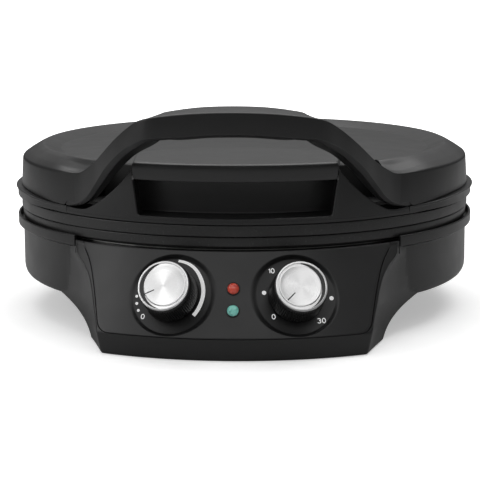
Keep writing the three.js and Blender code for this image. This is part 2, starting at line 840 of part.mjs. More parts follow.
// Handle: shares of the half span, of the reach, of the top's and bottom's rise, and of the depth
const handleShares = [
  [0, 1, 1, 1, 1],
  [0.13, 0.996, 0.994, 0.995, 1],
  [0.25, 0.985, 0.978, 0.975, 0.97],
  [0.38, 0.96, 0.945, 0.955, 0.9],
  [0.47, 0.93, 0.91, 0.93, 0.78],
  [0.53, 0.87, 0.86, 0.874, 0.62],
  [0.6, 0.755, 0.735, 0.778, 0.48],
  [0.67, 0.637, 0.58, 0.648, 0.4],
  [0.74, 0.495, 0.4, 0.482, 0.34],
  [0.8, 0.36, 0.238, 0.305, 0.3],
  [0.86, 0.24, 0.12, 0.135, 0.25],
  [0.92, 0.126, 0.03, 0.045, 0.18],
  [1, 0, 0, 0, 0.1],
];
const handleAt = tableReader(handleShares);

function handleStation(share) {
  const [reach, top, bottom, depth] = handleAt(Math.abs(share));
  return {
    x: share * handleFootHalfSpan,
    y: -mix(handleFootReach, handleReach, reach),
    top: mix(lidWallTop, handleTop, top),
    bottom: mix(handleFootBottom, handleBottom, bottom),
    depth: handleDepth * depth,
    lean: mix(-handleLip, handleCrown, depth),
    bevel: Math.min(handleDepth * depth / 3, mix(handleBevel, half(handleLip), depth)),
  };
}

// The underside cover ends with the bar, at this share of the handle's half span
const handleCoverShare = 0.4;

// Every station of the handle from left to right, with the way into it from its face
const handleSpots = (() => {
  const stations = handleShares.map(([share]) => share);
  const shares = [...stations.slice(1).reverse().map((share) => -share), ...stations];
  const spots = shares.map(handleStation);
  return spots.map((spot, i) => {
    const before = spots[Math.max(0, i - 1)];
    const after = spots[Math.min(spots.length - 1, i + 1)];
    const length = Math.hypot(after.x - before.x, after.y - before.y);
    const inward = [-(after.y - before.y) / length, (after.x - before.x) / length];
    const at = (depth, z) => new THREE.Vector3(
      spot.x + inward[0] * depth, spot.y + inward[1] * depth, z,
    );
    return { ...spot, at };
  });
})();

function handleBody() {
  return lofted(handleSpots.map(({ at, top, bottom, depth, lean, bevel }) => {
    const lip = Math.min(handleLip, depth / 3);
    return [
      at(0, top - half(lip)), at(half(lip), top),
      at(depth - half(lip), top + lean), at(depth, top + lean - lip),
      at(depth, bottom + lip), at(depth - lip, bottom),
      at(bevel, bottom), at(0, bottom + bevel),
    ];
  }), ['y', 'z']);
}

// Nose: a pale-topped ledge over the finger recess, with a tail that fades into the domed dish
const noseTailShare = 0.35;
const nosePocketAngle = 20;

function noseOutline(grow) {
  const width = noseHalfWidth + grow;
  const frontAngle = Math.asin((width - noseEdge) / (noseRadius + grow)) / degree;
  const tail = Array.from({ length: tailSteps + 1 }, (_, i) => {
    const angle = i * Math.PI / tailSteps;
    return [width * mix(Math.cos(angle), Math.cos(angle) ** 3, noseTailShare),
      -noseTailReach - noseCornerRadius * 2 + (noseCornerRadius * 2 + grow) * Math.sin(angle)];
  });
  return [...frontArc(noseRadius + grow, -frontAngle, frontAngle, panelColumns), ...tail];
}

function noseCap() {
  const dishEdge = pocketRadius + clearance * 2;
  const dish = revolved([
    ...lidTopOutline(clearance), [dishEdge, lidDishHeight + clearance],
    [dishEdge, noseBottom - overrun], [0, noseBottom - overrun],
  ]);
  const pocket = prism([
    ...frontArc(noseRadius - noseSkin, -nosePocketAngle, nosePocketAngle, tailSteps),
    ...frontArc(pocketRadius + noseSkin + clearance, nosePocketAngle, -nosePocketAngle, tailSteps),
  ], noseBottom - overrun, noseTop - noseSkin);
  const top = lofted([
    noseOutline(-noseTaper).map(([x, y]) => new THREE.Vector3(x, y, noseBottom)),
    noseOutline(0).map(([x, y]) => new THREE.Vector3(x, y, noseShoulder)),
    noseOutline(-noseEdge).map(([x, y]) => new THREE.Vector3(x, y, noseTop)),
  ]);
  return cut(top, dish, pocket);
}

function lidHousing() {
  const foot = beadTop + clearance;
  const front = frontWedge(pocketRadius, beadRadius + overrun, pocketHalfAngle, 0, lidCrestHeight + overrun);
  const noseRoom = cut(
    prism(noseOutline(clearance), lidDishHeight, noseTop + overrun),
    cylinder(lidDishRadius, 0, noseTop + overrun, ringSteps),
  );
  const backWall = frontWedge(
    pocketRadius - lidShell, pocketRadius, pocketHalfAngle + 1, foot, lidDishHeight + half(lidShell),
    ringSteps / 2,
  );
  const tubHalfWidth = noseHalfWidth + clearance * 4;
  const tubRoom = prism([
    [-tubHalfWidth, -beadRadius - overrun], [tubHalfWidth, -beadRadius - overrun],
    [tubHalfWidth, -noseTailReach], [-tubHalfWidth, -noseTailReach],
  ], foot - overrun, foot + pocketFloorThickness + clearance);
  const floor = cut(
    frontWedge(pocketRadius - lidShell, apronRadius - apronThickness - clearance,
      pocketHalfAngle + 1, foot, foot + pocketFloorThickness),
    cut(tubRoom, cylinder(pocketRadius - half(lidShell), 0, foot + overrun, ringSteps)),
  );
  const handleRoom = cylinder(lidWallTopRadius - lidShell, 0, lidWallTop, ringSteps);
  const shell = cut(join(cut(lidShellBody(), front), backWall), noseRoom);
  return join(shell, floor, cut(handleBody(), handleRoom));
}

// Front apron: a round wall whose edge falls to each side, with the finger recess let into it
const apronEdgeShares = [
  [0, 1], [0.54, 1], [0.567, 0.88], [0.61, 0.7], [0.653, 0.554], [0.732, 0.329], [0.809, 0.16],
  [0.857, 0.085], [0.912, 0.05], [1, 0.03],
];
const apronEdge = tableReader(apronEdgeShares);

const recessTop = noseBottom - clearance;

function recessSolid(grow, deeper, high) {
  const level = (z, halfWidth) => [
    [-halfWidth - grow, -beadRadius - overrun], [halfWidth + grow, -beadRadius - overrun],
    ...frontArc(apronRadius - recessDepth - deeper,
      Math.asin((halfWidth + grow) / (apronRadius - recessDepth)) / degree,
      -Math.asin((halfWidth + grow) / (apronRadius - recessDepth)) / degree, tailSteps),
  ].map(([x, y]) => new THREE.Vector3(x, y, z));
  const low = recessBottom - grow;
  return lofted([level(low, recessHalfWidthBottom), level(high, recessHalfWidthTop)]);
}

function frontApron() {
  const sections = Array.from({ length: apronSteps + 1 }, (_, i) => {
    const share = mix(-1, 1, i / apronSteps);
    const angle = share * apronHalfAngle * degree;
    const [rise] = apronEdge(Math.abs(share));
    const top = mix(apronFoot, apronTop, rise);
    const at = (radius, z) => new THREE.Vector3(radius * Math.sin(angle), -radius * Math.cos(angle), z);
    const inner = apronRadius - apronThickness;
    return [at(apronRadius, apronFoot), at(apronRadius, top), at(inner, top), at(inner, apronFoot)];
  });
  const wall = lofted(sections, ['y', 'z']);
  const outside = revolved([
    [apronRadius - half(apronThickness), 0], [beadRadius + overrun * 3, 0],
    [beadRadius + overrun * 3, apronTop + overrun], [apronRadius - half(apronThickness), apronTop + overrun],
  ]);
  const tub = cut(recessSolid(recessWall, recessWall, recessTop), outside);
  const noseRoom = prism(noseOutline(clearance), recessTop, apronTop + overrun);
  return cut(join(wall, tub), recessSolid(0, 0, recessTop + overrun), noseRoom);
}

function handleCover() {
  const covered = handleSpots.filter((spot) => Math.abs(spot.x) <= handleCoverShare * handleFootHalfSpan);
  return lofted(covered.map(({ at, bottom, depth }) => {
    const high = bottom - clearance;
    const low = high - handleCoverThickness;
    const back = depth - handleCoverSetback;
    return [at(handleCoverSetback, high), at(back, high), at(back, low), at(handleCoverSetback, low)];
  }), ['y', 'z']);
}

// Knob, cap, shaft and switch body, all modelled about +Z with z = 0 on the cone
const knobFoot = runningClearance * 2 - dialDishDepth + nutThickness;
const knobTop = knobFoot + knobHeight;
const bodyFront = bossBack - clearance;

function knobBody() {
  const rib = (radius) => Array.from({ length: knobRibs * 2 }, (_, i) => {
    const angle = i * Math.PI / knobRibs;
    const r = radius - (i % 2) * knobRibDepth;
    return [r * Math.cos(angle), r * Math.sin(angle)];
  });
  const level = (radius, z) => rib(radius).map(([x, y]) => new THREE.Vector3(x, y, z));
  const skin = lofted([level(knobFootRadius, knobFoot), level(knobTopRadius, knobTop)]);
  const hollow = revolved([
    [knobHubRadius, knobFoot - overrun], [knobFootRadius - knobShell, knobFoot - overrun],
    [knobTopRadius - knobShell, knobTop - knobShell], [knobHubRadius, knobTop - knobShell],
  ]);
  const nutRoomTop = nutThickness - dialDishDepth + bushReach * 2;
  const nutRoom = cylinder(nutRadius + runningClearance, -overrun, nutRoomTop);
  const bore = cylinder(shaftRadius + clearance, -overrun, knobTop - knobShell, tinySteps);
  return cut(skin, hollow, nutRoom, bore);
}

function knobCap() {
  const low = knobTop + clearance;
  const high = low + capThickness;
  const inner = capRadius - capRingWidth;
  return revolved([
    [0, low],
    [capRadius, low],
    [capRadius, high - capGrooveDepth],
    [capRadius - capGrooveDepth, high],
    [inner, high],
    [inner - capGrooveDepth, high - capGrooveDepth],
    [inner - capGrooveWidth - capGrooveDepth, high - capGrooveDepth],
    [inner - capGrooveWidth - capGrooveDepth * 2, high],
    [0, high],
  ], dialSteps);
}

function switchShaft() {
  return cylinder(shaftRadius, bodyFront + shaftEndGap, knobTop - knobShell - clearance, tinySteps);
}

const nutSeat = -dialDishDepth + clearance;
const shaftHole = () => cylinder(shaftRadius + clearance, bodyFront + clearance, overrun, tinySteps);

function thermostatBody() {
  const side = half(thermostatWidth);
  const box = prism([[-side, -side], [side, -side], [side, side], [-side, side]],
    bodyFront - thermostatDepth, bodyFront);
  const bush = cylinder(bushRadius, bodyFront, nutSeat + nutThickness + half(bushReach), smallSteps);
  return cut(join(box, bush), shaftHole());
}

function timerBody() {
  const can = cylinder(timerRadius, bodyFront - timerDepth, bodyFront);
  const bush = cylinder(bushRadius, bodyFront, nutSeat + nutThickness + half(bushReach), smallSteps);
  const canBack = bodyFront - timerDepth;
  const bellPost = cylinder(shaftRadius, canBack - bellDepth, canBack, tinySteps);
  return cut(join(can, bush, bellPost), shaftHole());
}

const bellShares = { crown: 0.6, inside: 0.58, knee: 0.6, kneeInside: 0.62 };

function timerBell() {
  const high = bodyFront - timerDepth - clearance;
  const low = high - bellDepth;
  const bore = shaftRadius + clearance;
  return revolved([
    [bore, low], [bellRadius * bellShares.crown, low], [bellRadius, mix(low, high, bellShares.knee)],
    [bellRadius, high],
    [bellRadius - reflectorSheet, high],
    [bellRadius - reflectorSheet, mix(low, high, bellShares.kneeInside)],
    [bellRadius * bellShares.inside, low + reflectorSheet], [bore, low + reflectorSheet],
  ], smallSteps);
}

function switchNut() {
  const hexagon = cylinder(nutRadius, nutSeat, nutSeat + nutThickness, 6);
  return cut(hexagon, cylinder(bushRadius + clearance, -overrun, overrun));
}

const lampDomeShares = [[0.8, 0.55], [0.45, 0.9], [0, 1]];

function lampLens() {
  return revolved([
    [0, -panelThickness - lampFlange * 3],
    [lampStemRadius, -panelThickness - lampFlange * 3],
    [lampStemRadius, clearance],
    [lampRadius, clearance],
    [lampRadius, clearance + lampFlange],
    ...lampDomeShares.map(([across, up]) => [lampRadius * across, clearance + lampFlange + lampDome * up]),
  ], smallSteps);
}

function lampHolder() {
  const high = -panelThickness - clearance;
  const stemEnd = -panelThickness - lampFlange * 3 - clearance;
  return revolved([
    [0, high - lampHolderDepth],
    [lampHolderRadius, high - lampHolderDepth],
    [lampHolderRadius, high],
    [lampStemRadius + clearance, high],
    [lampStemRadius + clearance, stemEnd],
    [0, stemEnd],
  ], tinySteps);
}

// Underneath: cover, screws, legs and pads
const coverTop = bowlUnderside - clearance;
const coverBottom = coverTop - coverThickness;

function bottomCover() {
  const vents = Array.from({ length: ventCount }, (_, i) => {
    const turn = new THREE.Matrix4().makeRotationZ(i * 2 * Math.PI / ventCount);
    return placedSolid(prism([
      [ventRadius - half(ventLength), -half(ventWidth)], [ventRadius + half(ventLength), -half(ventWidth)],
      [ventRadius + half(ventLength), half(ventWidth)], [ventRadius - half(ventLength), half(ventWidth)],
    ], coverBottom - overrun, coverTop + overrun), turn);
  });
  const holes = screwSpots().map(([x, y]) => placedSolid(
    cylinder(screwShankRadius + clearance, coverBottom - overrun, coverTop + overrun, tinySteps),
    new THREE.Matrix4().makeTranslation(x, y, 0),
  ));
  return cut(cylinder(coverRadius, coverBottom, coverTop, ringSteps), ...vents, ...holes);
}

function screwSpots() {
  return Array.from({ length: coverScrewCount }, (_, i) => {
    const angle = (i + 0.5) * 2 * Math.PI / coverScrewCount;
    return [coverScrewCircle * Math.cos(angle), coverScrewCircle * Math.sin(angle)];
  });
}

function coverScrew() {
  const seat = coverBottom - clearance;
  return revolved([
    [0, seat - screwHeadHeight],
    [screwHeadRadius - clearance, seat - screwHeadHeight],
    [screwHeadRadius, seat - half(screwHeadHeight)],
    [screwHeadRadius, seat],
    [screwShankRadius, seat],
    [screwShankRadius, coverTop],
    [0, coverTop],
  ], tinySteps);
}

// Hinge: a bracket on the base, a pin through it and two arms on the lid
const knuckleAngles = { bracket: [-20, 180], arm: [-170, 60] };

function circleAbout(y, z, radius, [from, to], steps = tinySteps) {
  return Array.from({ length: steps + 1 }, (_, i) => {
    const angle = mix(from, to, i / steps) * degree;
    return [y + radius * Math.cos(angle), z + radius * Math.sin(angle)];
  });
}

const pinHole = () => across(
  circleAbout(hingeReach, hingeHeight, hingePinRadius + runningClearance, [0, 360], smallSteps).slice(1),
  -overrun * 4, overrun * 4,
);

function hingeBracket() {
  const outline = [
    [hingeBracketRoot, hingeBracketFoot],
    [bowlRadius + hingeKnuckleRadius, hingeBracketFoot],
    ...circleAbout(hingeReach, hingeHeight, hingeKnuckleRadius, knuckleAngles.bracket),
    [hingeReach - hingeKnuckleRadius, bowlLipTop - bowlLipThickness],
    [hingeBracketRoot, bowlLipTop - bowlLipThickness],
  ];
  return cut(
    across(outline, -hingeBracketHalfWidth, hingeBracketHalfWidth),
    revolved([...bowlOuterOutline(clearance), [0, bowlLipTop + clearance]]),
    pinHole(),
  );
}

function hingeArm() {
  const left = hingeBracketHalfWidth + clearance * 2;
  const outline = [
    ...circleAbout(hingeReach, hingeHeight, hingeKnuckleRadius, knuckleAngles.arm),
    [lidWallFootRadius + hingeArmSlope, hingeArmTop],
    [hingeBracketRoot, hingeArmTop],
    [hingeBracketRoot, beadFrontTop],
    [hingeReach - hingeKnuckleRadius, beadFrontTop],
  ];
  const lidForm = revolved([
    [0, hingeBracketFoot], [upperPlateRadius + clearance, hingeBracketFoot],
    [upperPlateRadius + clearance, upperPlateRimTop],
    [beadRadius + clearance, upperPlateRimTop + reflectorGap],
    [beadRadius + clearance, beadTop],
    [lidWallFootRadius + clearance, beadTop + clearance],
    [lidWallTopRadius + clearance, lidWallTop + clearance], [0, lidWallTop + clearance],
  ]);
  return cut(across(outline, left, left + hingeArmWidth), lidForm, pinHole());
}

function hingePin() {
  const reach = hingeBracketHalfWidth + clearance * 2 + hingeArmWidth + clearance;
  const rod = cylinder(hingePinRadius, -reach, reach, smallSteps);
  const heads = [-1, 1].map((side) => cylinder(
    hingePinHeadRadius, Math.min(side * reach, side * (reach + hingePinHeadThickness)),
    Math.max(side * reach, side * (reach + hingePinHeadThickness)), smallSteps,
  ));
  return join(rod, ...heads);
}

function cordGland() {
  const bore = glandBore;
  return revolved([
    [bore, -bowlWall * 2], [glandStemRadius, -bowlWall * 2], [glandStemRadius, clearance],
    [glandRadius, clearance], [glandRadius, clearance + glandFlange],
    [glandStemRadius, clearance + glandFlange], [glandStemRadius - half(clearance), clearance + glandReach],
    [bore, clearance + glandReach],
  ], smallSteps);
}

// Assembly
addPiece('base_housing', baseHousing(), materials.blackPlastic);
addPiece('control_panel', controlPanel(), materials.panelPlastic);
addPiece('bottom_cover', bottomCover(), materials.blackPlastic);
addPiece('lower_plate', lowerPlate(), materials.coating);
addPiece('lower_reflector', lowerReflector(), materials.steel);
addPiece('upper_plate', upperPlate(), materials.coating);
addPiece('upper_reflector', upperReflector(), materials.steel);
addPiece('lid_rim', lidRim(), materials.blackPlastic);
addPiece('lid_housing', lidHousing(), materials.blackPlastic);
addPiece('front_apron', frontApron(), materials.blackPlastic);
addPiece('nose_cap', noseCap(), materials.blackPlastic);
addPiece('handle_underside_cover', handleCover(), materials.blackPlastic);

const lowerHeaterHeight = plateRimTop - plateCavityDepth - plateThickness - clearance - heaterTube;
const upperHeaterHeight = upperPlateTop + clearance + heaterTube;
[['lower', lowerHeaterHeight, 1], ['upper', upperHeaterHeight, -1]].forEach(([level, height, way]) => {
  addPiece(`${level}_element`, heater(), materials.heater, (mesh) => {
    mesh.position.z = height;
  });
  for (let i = 0; i < clipCount; i += 1) {
    addPiece(`${level}_element_clip_${i + 1}`, clip(), materials.steel, (mesh) => {
      const angle = (i + 0.5) * 2 * Math.PI / clipCount;
      mesh.position.set(-heaterRadius * Math.sin(angle), heaterRadius * Math.cos(angle), height);
      mesh.rotation.z = angle;
      if (way < 0) mesh.rotation.x = Math.PI;
      mesh.rotation.order = 'ZYX';
    });
  }
});

dials.forEach(({ name, angle }) => {
  const place = placeBy(onPanel(angle, dialHeight));
  const isTimer = name === 'timer';
  addPiece(`${name}_knob`, knobBody(), materials.blackPlastic, place);
  addPiece(`${name}_knob_cap`, knobCap(), materials.aluminium, place);
  addPiece(`${name}_shaft`, switchShaft(), materials.steel, place);
  addPiece(`${name}_nut`, switchNut(), materials.steel, place);
  addPiece(isTimer ? 'timer_body' : 'thermostat_body', isTimer ? timerBody() : thermostatBody(),
    materials.steel, place);
  if (isTimer) addPiece('timer_bell', timerBell(), materials.steel, place);
});

lamps.forEach(({ name, height, material }) => {
  addPiece(`${name}_lamp_lens`, lampLens(), material, placeBy(onPanel(0, height)));
  addPiece(`${name}_lamp_holder`, lampHolder(), materials.palePlastic, placeBy(onPanel(0, height)));
});

screwSpots().forEach(([x, y], i) => {
  addPiece(`cover_screw_${i + 1}`, coverScrew(), materials.steel, (mesh) => mesh.position.set(x, y, 0));
});

[['left', -1], ['right', 1]].forEach(([name, side]) => {
  addPiece(`rear_leg_${name}`, cylinder(
    legFootRadius, padThickness + clearance, bowlUnderside - clearance, smallSteps, legTopRadius,
  ), materials.blackPlastic, (mesh) => mesh.position.set(side * legAcross, legBack, 0));
  addPiece(`rear_pad_${name}`, cylinder(padRadius, 0, padThickness), materials.rubber,
    (mesh) => mesh.position.set(side * legAcross, legBack, 0));
  addPiece(`front_pad_${name}`, cylinder(padRadius, 0, padThickness), materials.rubber,
    (mesh) => mesh.position.set(side * frontPadAcross, -frontPadReach, 0));
  addPiece(`lid_hinge_arm_${name}`, side > 0 ? hingeArm() : mirrored(hingeArm()), materials.blackPlastic);
});

function mirrored(solid) {
  const geometry = toGeometry(solid).scale(-1, 1, 1);
  geometry.setIndex(Array.from(geometry.index.array).reverse());
  return toSolid(geometry);
}

addPiece('hinge_bracket', hingeBracket(), materials.blackPlastic);
addPiece('hinge_pin', hingePin(), materials.steel, (mesh) => {
  mesh.position.set(0, hingeReach, hingeHeight);
  mesh.rotation.y = half(Math.PI);
});
addPiece('cord_gland', cordGland(), materials.rubber, placeBy(glandMatrix()));
addPiece('terminal_block', prism([
  [-half(terminalLength), 0], [half(terminalLength), 0],
  [half(terminalLength), terminalDepth], [-half(terminalLength), terminalDepth],
], 0, terminalHeight), materials.palePlastic, (mesh) => {
  const boardHeight = bowlUnderside + bowlWall + clearance;
  mesh.position.set(terminalOffset - half(terminalLength), terminalReach, boardHeight);
});

// Origin: the middle of the whole part's footprint, on the table
const footprint = new THREE.Box3().setFromObject(machine);
machine.position.y = -half(footprint.min.y + footprint.max.y);

export default group;
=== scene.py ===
# Electric pizza maker: fine surfaces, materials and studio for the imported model.
import math

import bmesh
import bpy
from mathutils import Matrix, Vector


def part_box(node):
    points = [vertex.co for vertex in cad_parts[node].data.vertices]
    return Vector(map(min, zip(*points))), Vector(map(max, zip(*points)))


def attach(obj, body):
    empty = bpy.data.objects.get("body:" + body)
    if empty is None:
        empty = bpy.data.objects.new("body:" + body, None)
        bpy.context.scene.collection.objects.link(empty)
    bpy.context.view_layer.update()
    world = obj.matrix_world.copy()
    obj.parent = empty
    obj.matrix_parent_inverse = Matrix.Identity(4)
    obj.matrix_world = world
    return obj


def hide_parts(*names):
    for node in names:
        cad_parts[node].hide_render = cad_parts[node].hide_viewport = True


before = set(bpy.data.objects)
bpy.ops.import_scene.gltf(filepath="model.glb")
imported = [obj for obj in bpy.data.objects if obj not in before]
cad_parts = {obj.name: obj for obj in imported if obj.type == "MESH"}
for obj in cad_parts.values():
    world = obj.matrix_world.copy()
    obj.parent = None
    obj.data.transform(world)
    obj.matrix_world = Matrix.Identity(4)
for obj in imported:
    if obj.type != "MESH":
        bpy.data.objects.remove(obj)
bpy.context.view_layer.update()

# All sizes below are millimetres about the bowl's axis, front at -Y, table at z = 0
MM = 0.001
plate_low, plate_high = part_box("lower_plate")
AXIS_Y = (plate_low[1] + plate_high[1]) / 2

BOWL_R = 171.0
BOWL_WALL = 3.0
BOWL_UNDER = 26.0
BOWL_CORNER = 9.0
LIP_R = 175.0
LIP_FOOT = 64.0
LIP_TOP = 73.5
LIP_THICK = 2.0
LEDGE = 68.6
LEDGE_R = 160.0
MOUTH = 70.0
PLATE_TOP = 89.7

PANEL_TOP_Z = 70.0
PANEL_TOP_R = 174.0
PANEL_FOOT_Z = 15.5
PANEL_FOOT_R = 206.0
PANEL_TOP_W = 110.5
PANEL_FOOT_W = 94.0
PANEL_CORNER = 7.0
PANEL_THICK = 2.6
BLOCK_UNDER = 0.3
BLOCK_FOOT_W = 91.5
BLOCK_REAR_W = 101.0
BLOCK_REAR_Y = 146.0
BLOCK_BACK_Y = 122.0
BLOCK_TUCK_LOW = 12.0
BLOCK_TUCK_HIGH = 42.0
JOIN_ANGLE = 57.0
NOTCH_ANGLE = 41.0
NOTCH_W = 1.3
NOTCH_DEPTH = 9.5
PAD_R = 9.5
PAD_THICK = 1.3
FRONT_PAD = (72.0, -178.0)

DIAL_ANGLE = 13.0
DIAL_Z = 41.8
DISH_R = 29.5
DISH_FOOT_R = 26.9
DISH_DEPTH = 2.9
SHAFT_HOLE_R = 5.4

WALL_FOOT_R = 171.8
WALL_TOP_R = 170.5
WALL_TOP = 117.0
CREST_R = 154.4
CREST_Z = 126.5
LID_DISH_R = 141.0
LID_DISH_Z = 121.8
DOME_Z = 127.0
LID_WALL = 3.0
BEAD_TOP = 95.7
RIM_FOOT = 87.3
RIM_INNER_R = 166.0
POCKET_ANGLE = 40.0
POCKET_R = 146.0

FOOT_SPAN = 122.0
FOOT_REACH = 120.5
BAR_REACH = 202.0
BAR_TOP = 168.6
BAR_BOTTOM = 152.2
FOOT_BOTTOM = 92.3
BAR_DEPTH = 30.0
HANDLE_PAST = 1.06
WING_ANGLE = 45.3
COVER_SHARE = 0.385
COVER_SETBACK = 9.0

APRON_R = 171.6
APRON_THICK = 3.0
APRON_ANGLE = 45.5
APRON_TOP = 125.0
APRON_FOOT = 89.75
RECESS_LOW = 92.4
RECESS_W_TOP = 71.0
RECESS_W_LOW = 67.2
RECESS_DEPTH = 20.0
TUB_WALL = 2.4
NOSE_R = 171.4
NOSE_W = 73.4
NOSE_LOW = 117.0
NOSE_TOP = 129.4
NOSE_TAIL = 70.0

HINGE_Y = 191.0
HINGE_Z = 80.0
KNUCKLE_R = 9.0
BRACKET_HALF_W = 28.0
HINGE_GAP = 0.6
ARM_W = 16.0

COVER_R = 118.0
COVER_UNDER = 23.3
COVER_TOP = 25.7
COVER_VENTS = 10
SCREWS = [(113 * math.cos(math.radians(a)), 113 * math.sin(math.radians(a)))
          for a in (45, 135, 225, 315)]
REAR_LEG = (75.0, 120.0)
GLAND_ANGLE = 26.0
GLAND_Z = 46.0


def mix(a, b, t):
    return a + (b - a) * t


def clamp(v, low=0.0, high=1.0):
    return max(low, min(high, v))


def smooth(t):
    t = clamp(t)
    return t * t * (3 - 2 * t)


def sin_d(a):
    return math.sin(math.radians(a))


def cos_d(a):
    return math.cos(math.radians(a))


def polar(radius, angle, z):
    """A point about the bowl's axis: angle in degrees off the front, positive to the right."""
    return (radius * sin_d(angle), -radius * cos_d(angle), z)


def spread(a, b, n):
    return [mix(a, b, i / n) for i in range(n + 1)]


def reader(rows):
    """A smooth curve through rows of numbers, read at a value of the first column."""
    xs = [r[0] for r in rows]
    columns = len(rows[0]) - 1

    def slope(i, c):
        a, b = max(0, i - 1), min(len(rows) - 1, i + 1)
        return (rows[b][c] - rows[a][c]) / (xs[b] - xs[a])

    def at(x):
        x = clamp(x, xs[0], xs[-1])
        i = 0
        while i < len(xs) - 2 and x > xs[i + 1]:
            i += 1
        h = xs[i + 1] - xs[i]
        t = (x - xs[i]) / h
        out = []
        for c in range(1, columns + 1):
            a, b = rows[i][c], rows[i + 1][c]
            ma, mb = slope(i, c) * h, slope(i + 1, c) * h
            if i == 0 and columns > 1:
                ma = 0.0
            out.append((2 * t**3 - 3 * t**2 + 1) * a + (t**3 - 2 * t**2 + t) * ma
                       + (-2 * t**3 + 3 * t**2) * b + (t**3 - t**2) * mb)
        return out
    return at


def bend(a, b, c, steps):
    """Points of the curve from a to c that heads for b."""
    return [tuple(p * (1 - t) ** 2 + 2 * q * t * (1 - t) + r * t * t for p, q, r in zip(a, b, c))
            for t in spread(0, 1, steps)]


def rounded(points, radii, steps=5):
    """A closed 2-D outline with each corner turned on its radius."""
    out = []
    for i, (p, r) in enumerate(zip(points, radii)):
        p = Vector(p)
        a = Vector(points[i - 1]) - p
        b = Vector(points[(i + 1) % len(points)]) - p
        if r <= 0 or a.length < 1e-9 or b.length < 1e-9:
            out.append(tuple(p))
            continue
        turn = math.pi - a.angle(b)
        reach = min(r * math.tan(turn / 2), a.length * 0.48, b.length * 0.48)
        out += bend(p + a.normalized() * reach, p, p + b.normalized() * reach, steps)
    return out


def loft(sections, looped=False):
    """Faces through closed sections with the same number of points, capped unless they loop."""
    n = len(sections[0])
    rings = len(sections)
    verts = [p for s in sections for p in s]
    faces = []
    for r in range(rings if looped else rings - 1):
        nxt = (r + 1) % rings
        for i in range(n):
            j = (i + 1) % n
            faces.append((r * n + i, r * n + j, nxt * n + j, nxt * n + i))
    if not looped:
        faces.append(tuple(range(n)))
        faces.append(tuple(range((rings - 1) * n, rings * n)))
    return verts, faces


def level(plan, z):
    """A plan of (x, y) at a height."""
    return [(x, y, z) for x, y in plan]


def at_angle(profile, angle):
    """A profile of (radius, z) turned to an angle off the front."""
    return [polar(r, angle, z) for r, z in profile]


def revolve(profile, steps=192, start=None, end=None):
    """A closed profile of (radius, z) turned about the bowl's axis, whole or between two angles."""
    whole = start is None
    angles = [360 * i / steps for i in range(steps)] if whole else spread(start, end, steps)
    return loft([at_angle(profile, a) for a in angles], looped=whole)


def moved(part, matrix):
    """A part modelled about +Z, put in place by a matrix in millimetres."""
    verts, faces = part
    return [tuple(matrix @ Vector(p)) for p in verts], faces


def at_spot(part, spot, side=1):
    """A part moved over a spot of the table, or over its mirror image."""
    return moved(part, Matrix.Translation((side * spot[0], spot[1], 0)))


def circle(steps):
    return [2 * math.pi * i / steps for i in range(steps)]


def turned(profile, steps):
    """A profile of (radius, height) turned about +Z at the origin."""
    return loft([[(r * math.cos(a), r * math.sin(a), z) for r, z in profile]
                 for a in circle(steps)], looped=True)


def bar(radius, low, high):
    """Profile of a plain round bar between two heights."""
    return [(0, low), (radius, low), (radius, high), (0, high)]


def linked(name, data):
    obj = bpy.data.objects.new(name, data)
    bpy.context.scene.collection.objects.link(obj)
    return obj


def fill(bm, points, faces):
    """Adds points and the faces between them, without corners that repeat in a face."""
    made = [bm.verts.new(p) for p in points]
    for face in faces:
        loop = list(dict.fromkeys(made[k] for k in face))
        if len(loop) > 2 and bm.faces.get(loop) is None:
            bm.faces.new(loop)


def piece(name, parts, look, body, nodes=(), sharp=32.0):
    """One visible piece of closed parts, riding on a body and standing for CAD nodes."""
    mesh = bpy.data.meshes.new(name)
    bm = bmesh.new()
    for verts, faces in parts:
        fill(bm, [(x * MM, y * MM + AXIS_Y, z * MM) for x, y, z in verts], faces)
    bmesh.ops.remove_doubles(bm, verts=bm.verts, dist=1e-7)
    bmesh.ops.dissolve_degenerate(bm, dist=1e-8, edges=bm.edges)
    bmesh.ops.recalc_face_normals(bm, faces=bm.faces)
    for face in bm.faces:
        face.smooth = True
    bm.to_mesh(mesh)
    bm.free()
    mesh.set_sharp_from_angle(angle=math.radians(sharp))
    mesh.materials.append(look)
    obj = linked(name, mesh)
    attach(obj, body)
    if nodes:
        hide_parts(*nodes)


# Control panel's cone, its outline and the block around it
PANEL_RISE = PANEL_TOP_Z - PANEL_FOOT_Z
PANEL_RUN = PANEL_FOOT_R - PANEL_TOP_R
SLANT = math.hypot(PANEL_RISE, PANEL_RUN)
OUT, UP = PANEL_RISE / SLANT, PANEL_RUN / SLANT


def cone_r(z):
    return PANEL_FOOT_R - PANEL_RUN * (z - PANEL_FOOT_Z) / PANEL_RISE


def on_cone(x, z, depth=0.0):
    """The point of the cone at a width and height, pushed along its normal."""
    a = math.asin(clamp(x / cone_r(z), -1, 1))
    r = cone_r(z) + depth * OUT
    return (r * math.sin(a), -r * math.cos(a), z + depth * UP)


def panel_share(z):
    return clamp((z - PANEL_FOOT_Z) / PANEL_RISE)


# at shares of the panel's height: how far it has widened, and the block's border beside it
widening = reader([[0, 0], [0.1, 0.03], [0.3, 0.145], [0.47, 0.25], [0.74, 0.475], [0.88, 0.7],
                   [1, 1]])
border = reader([[0, 1], [0.3, 1.8], [0.46, 2], [0.62, 3], [0.75, 5.7], [0.84, 8.5], [0.93, 6.5],
                 [1, 3.5]])


def panel_edge(z):
    """Half width of the panel at a height."""
    return mix(PANEL_FOOT_W, PANEL_TOP_W, widening(panel_share(z))[0])


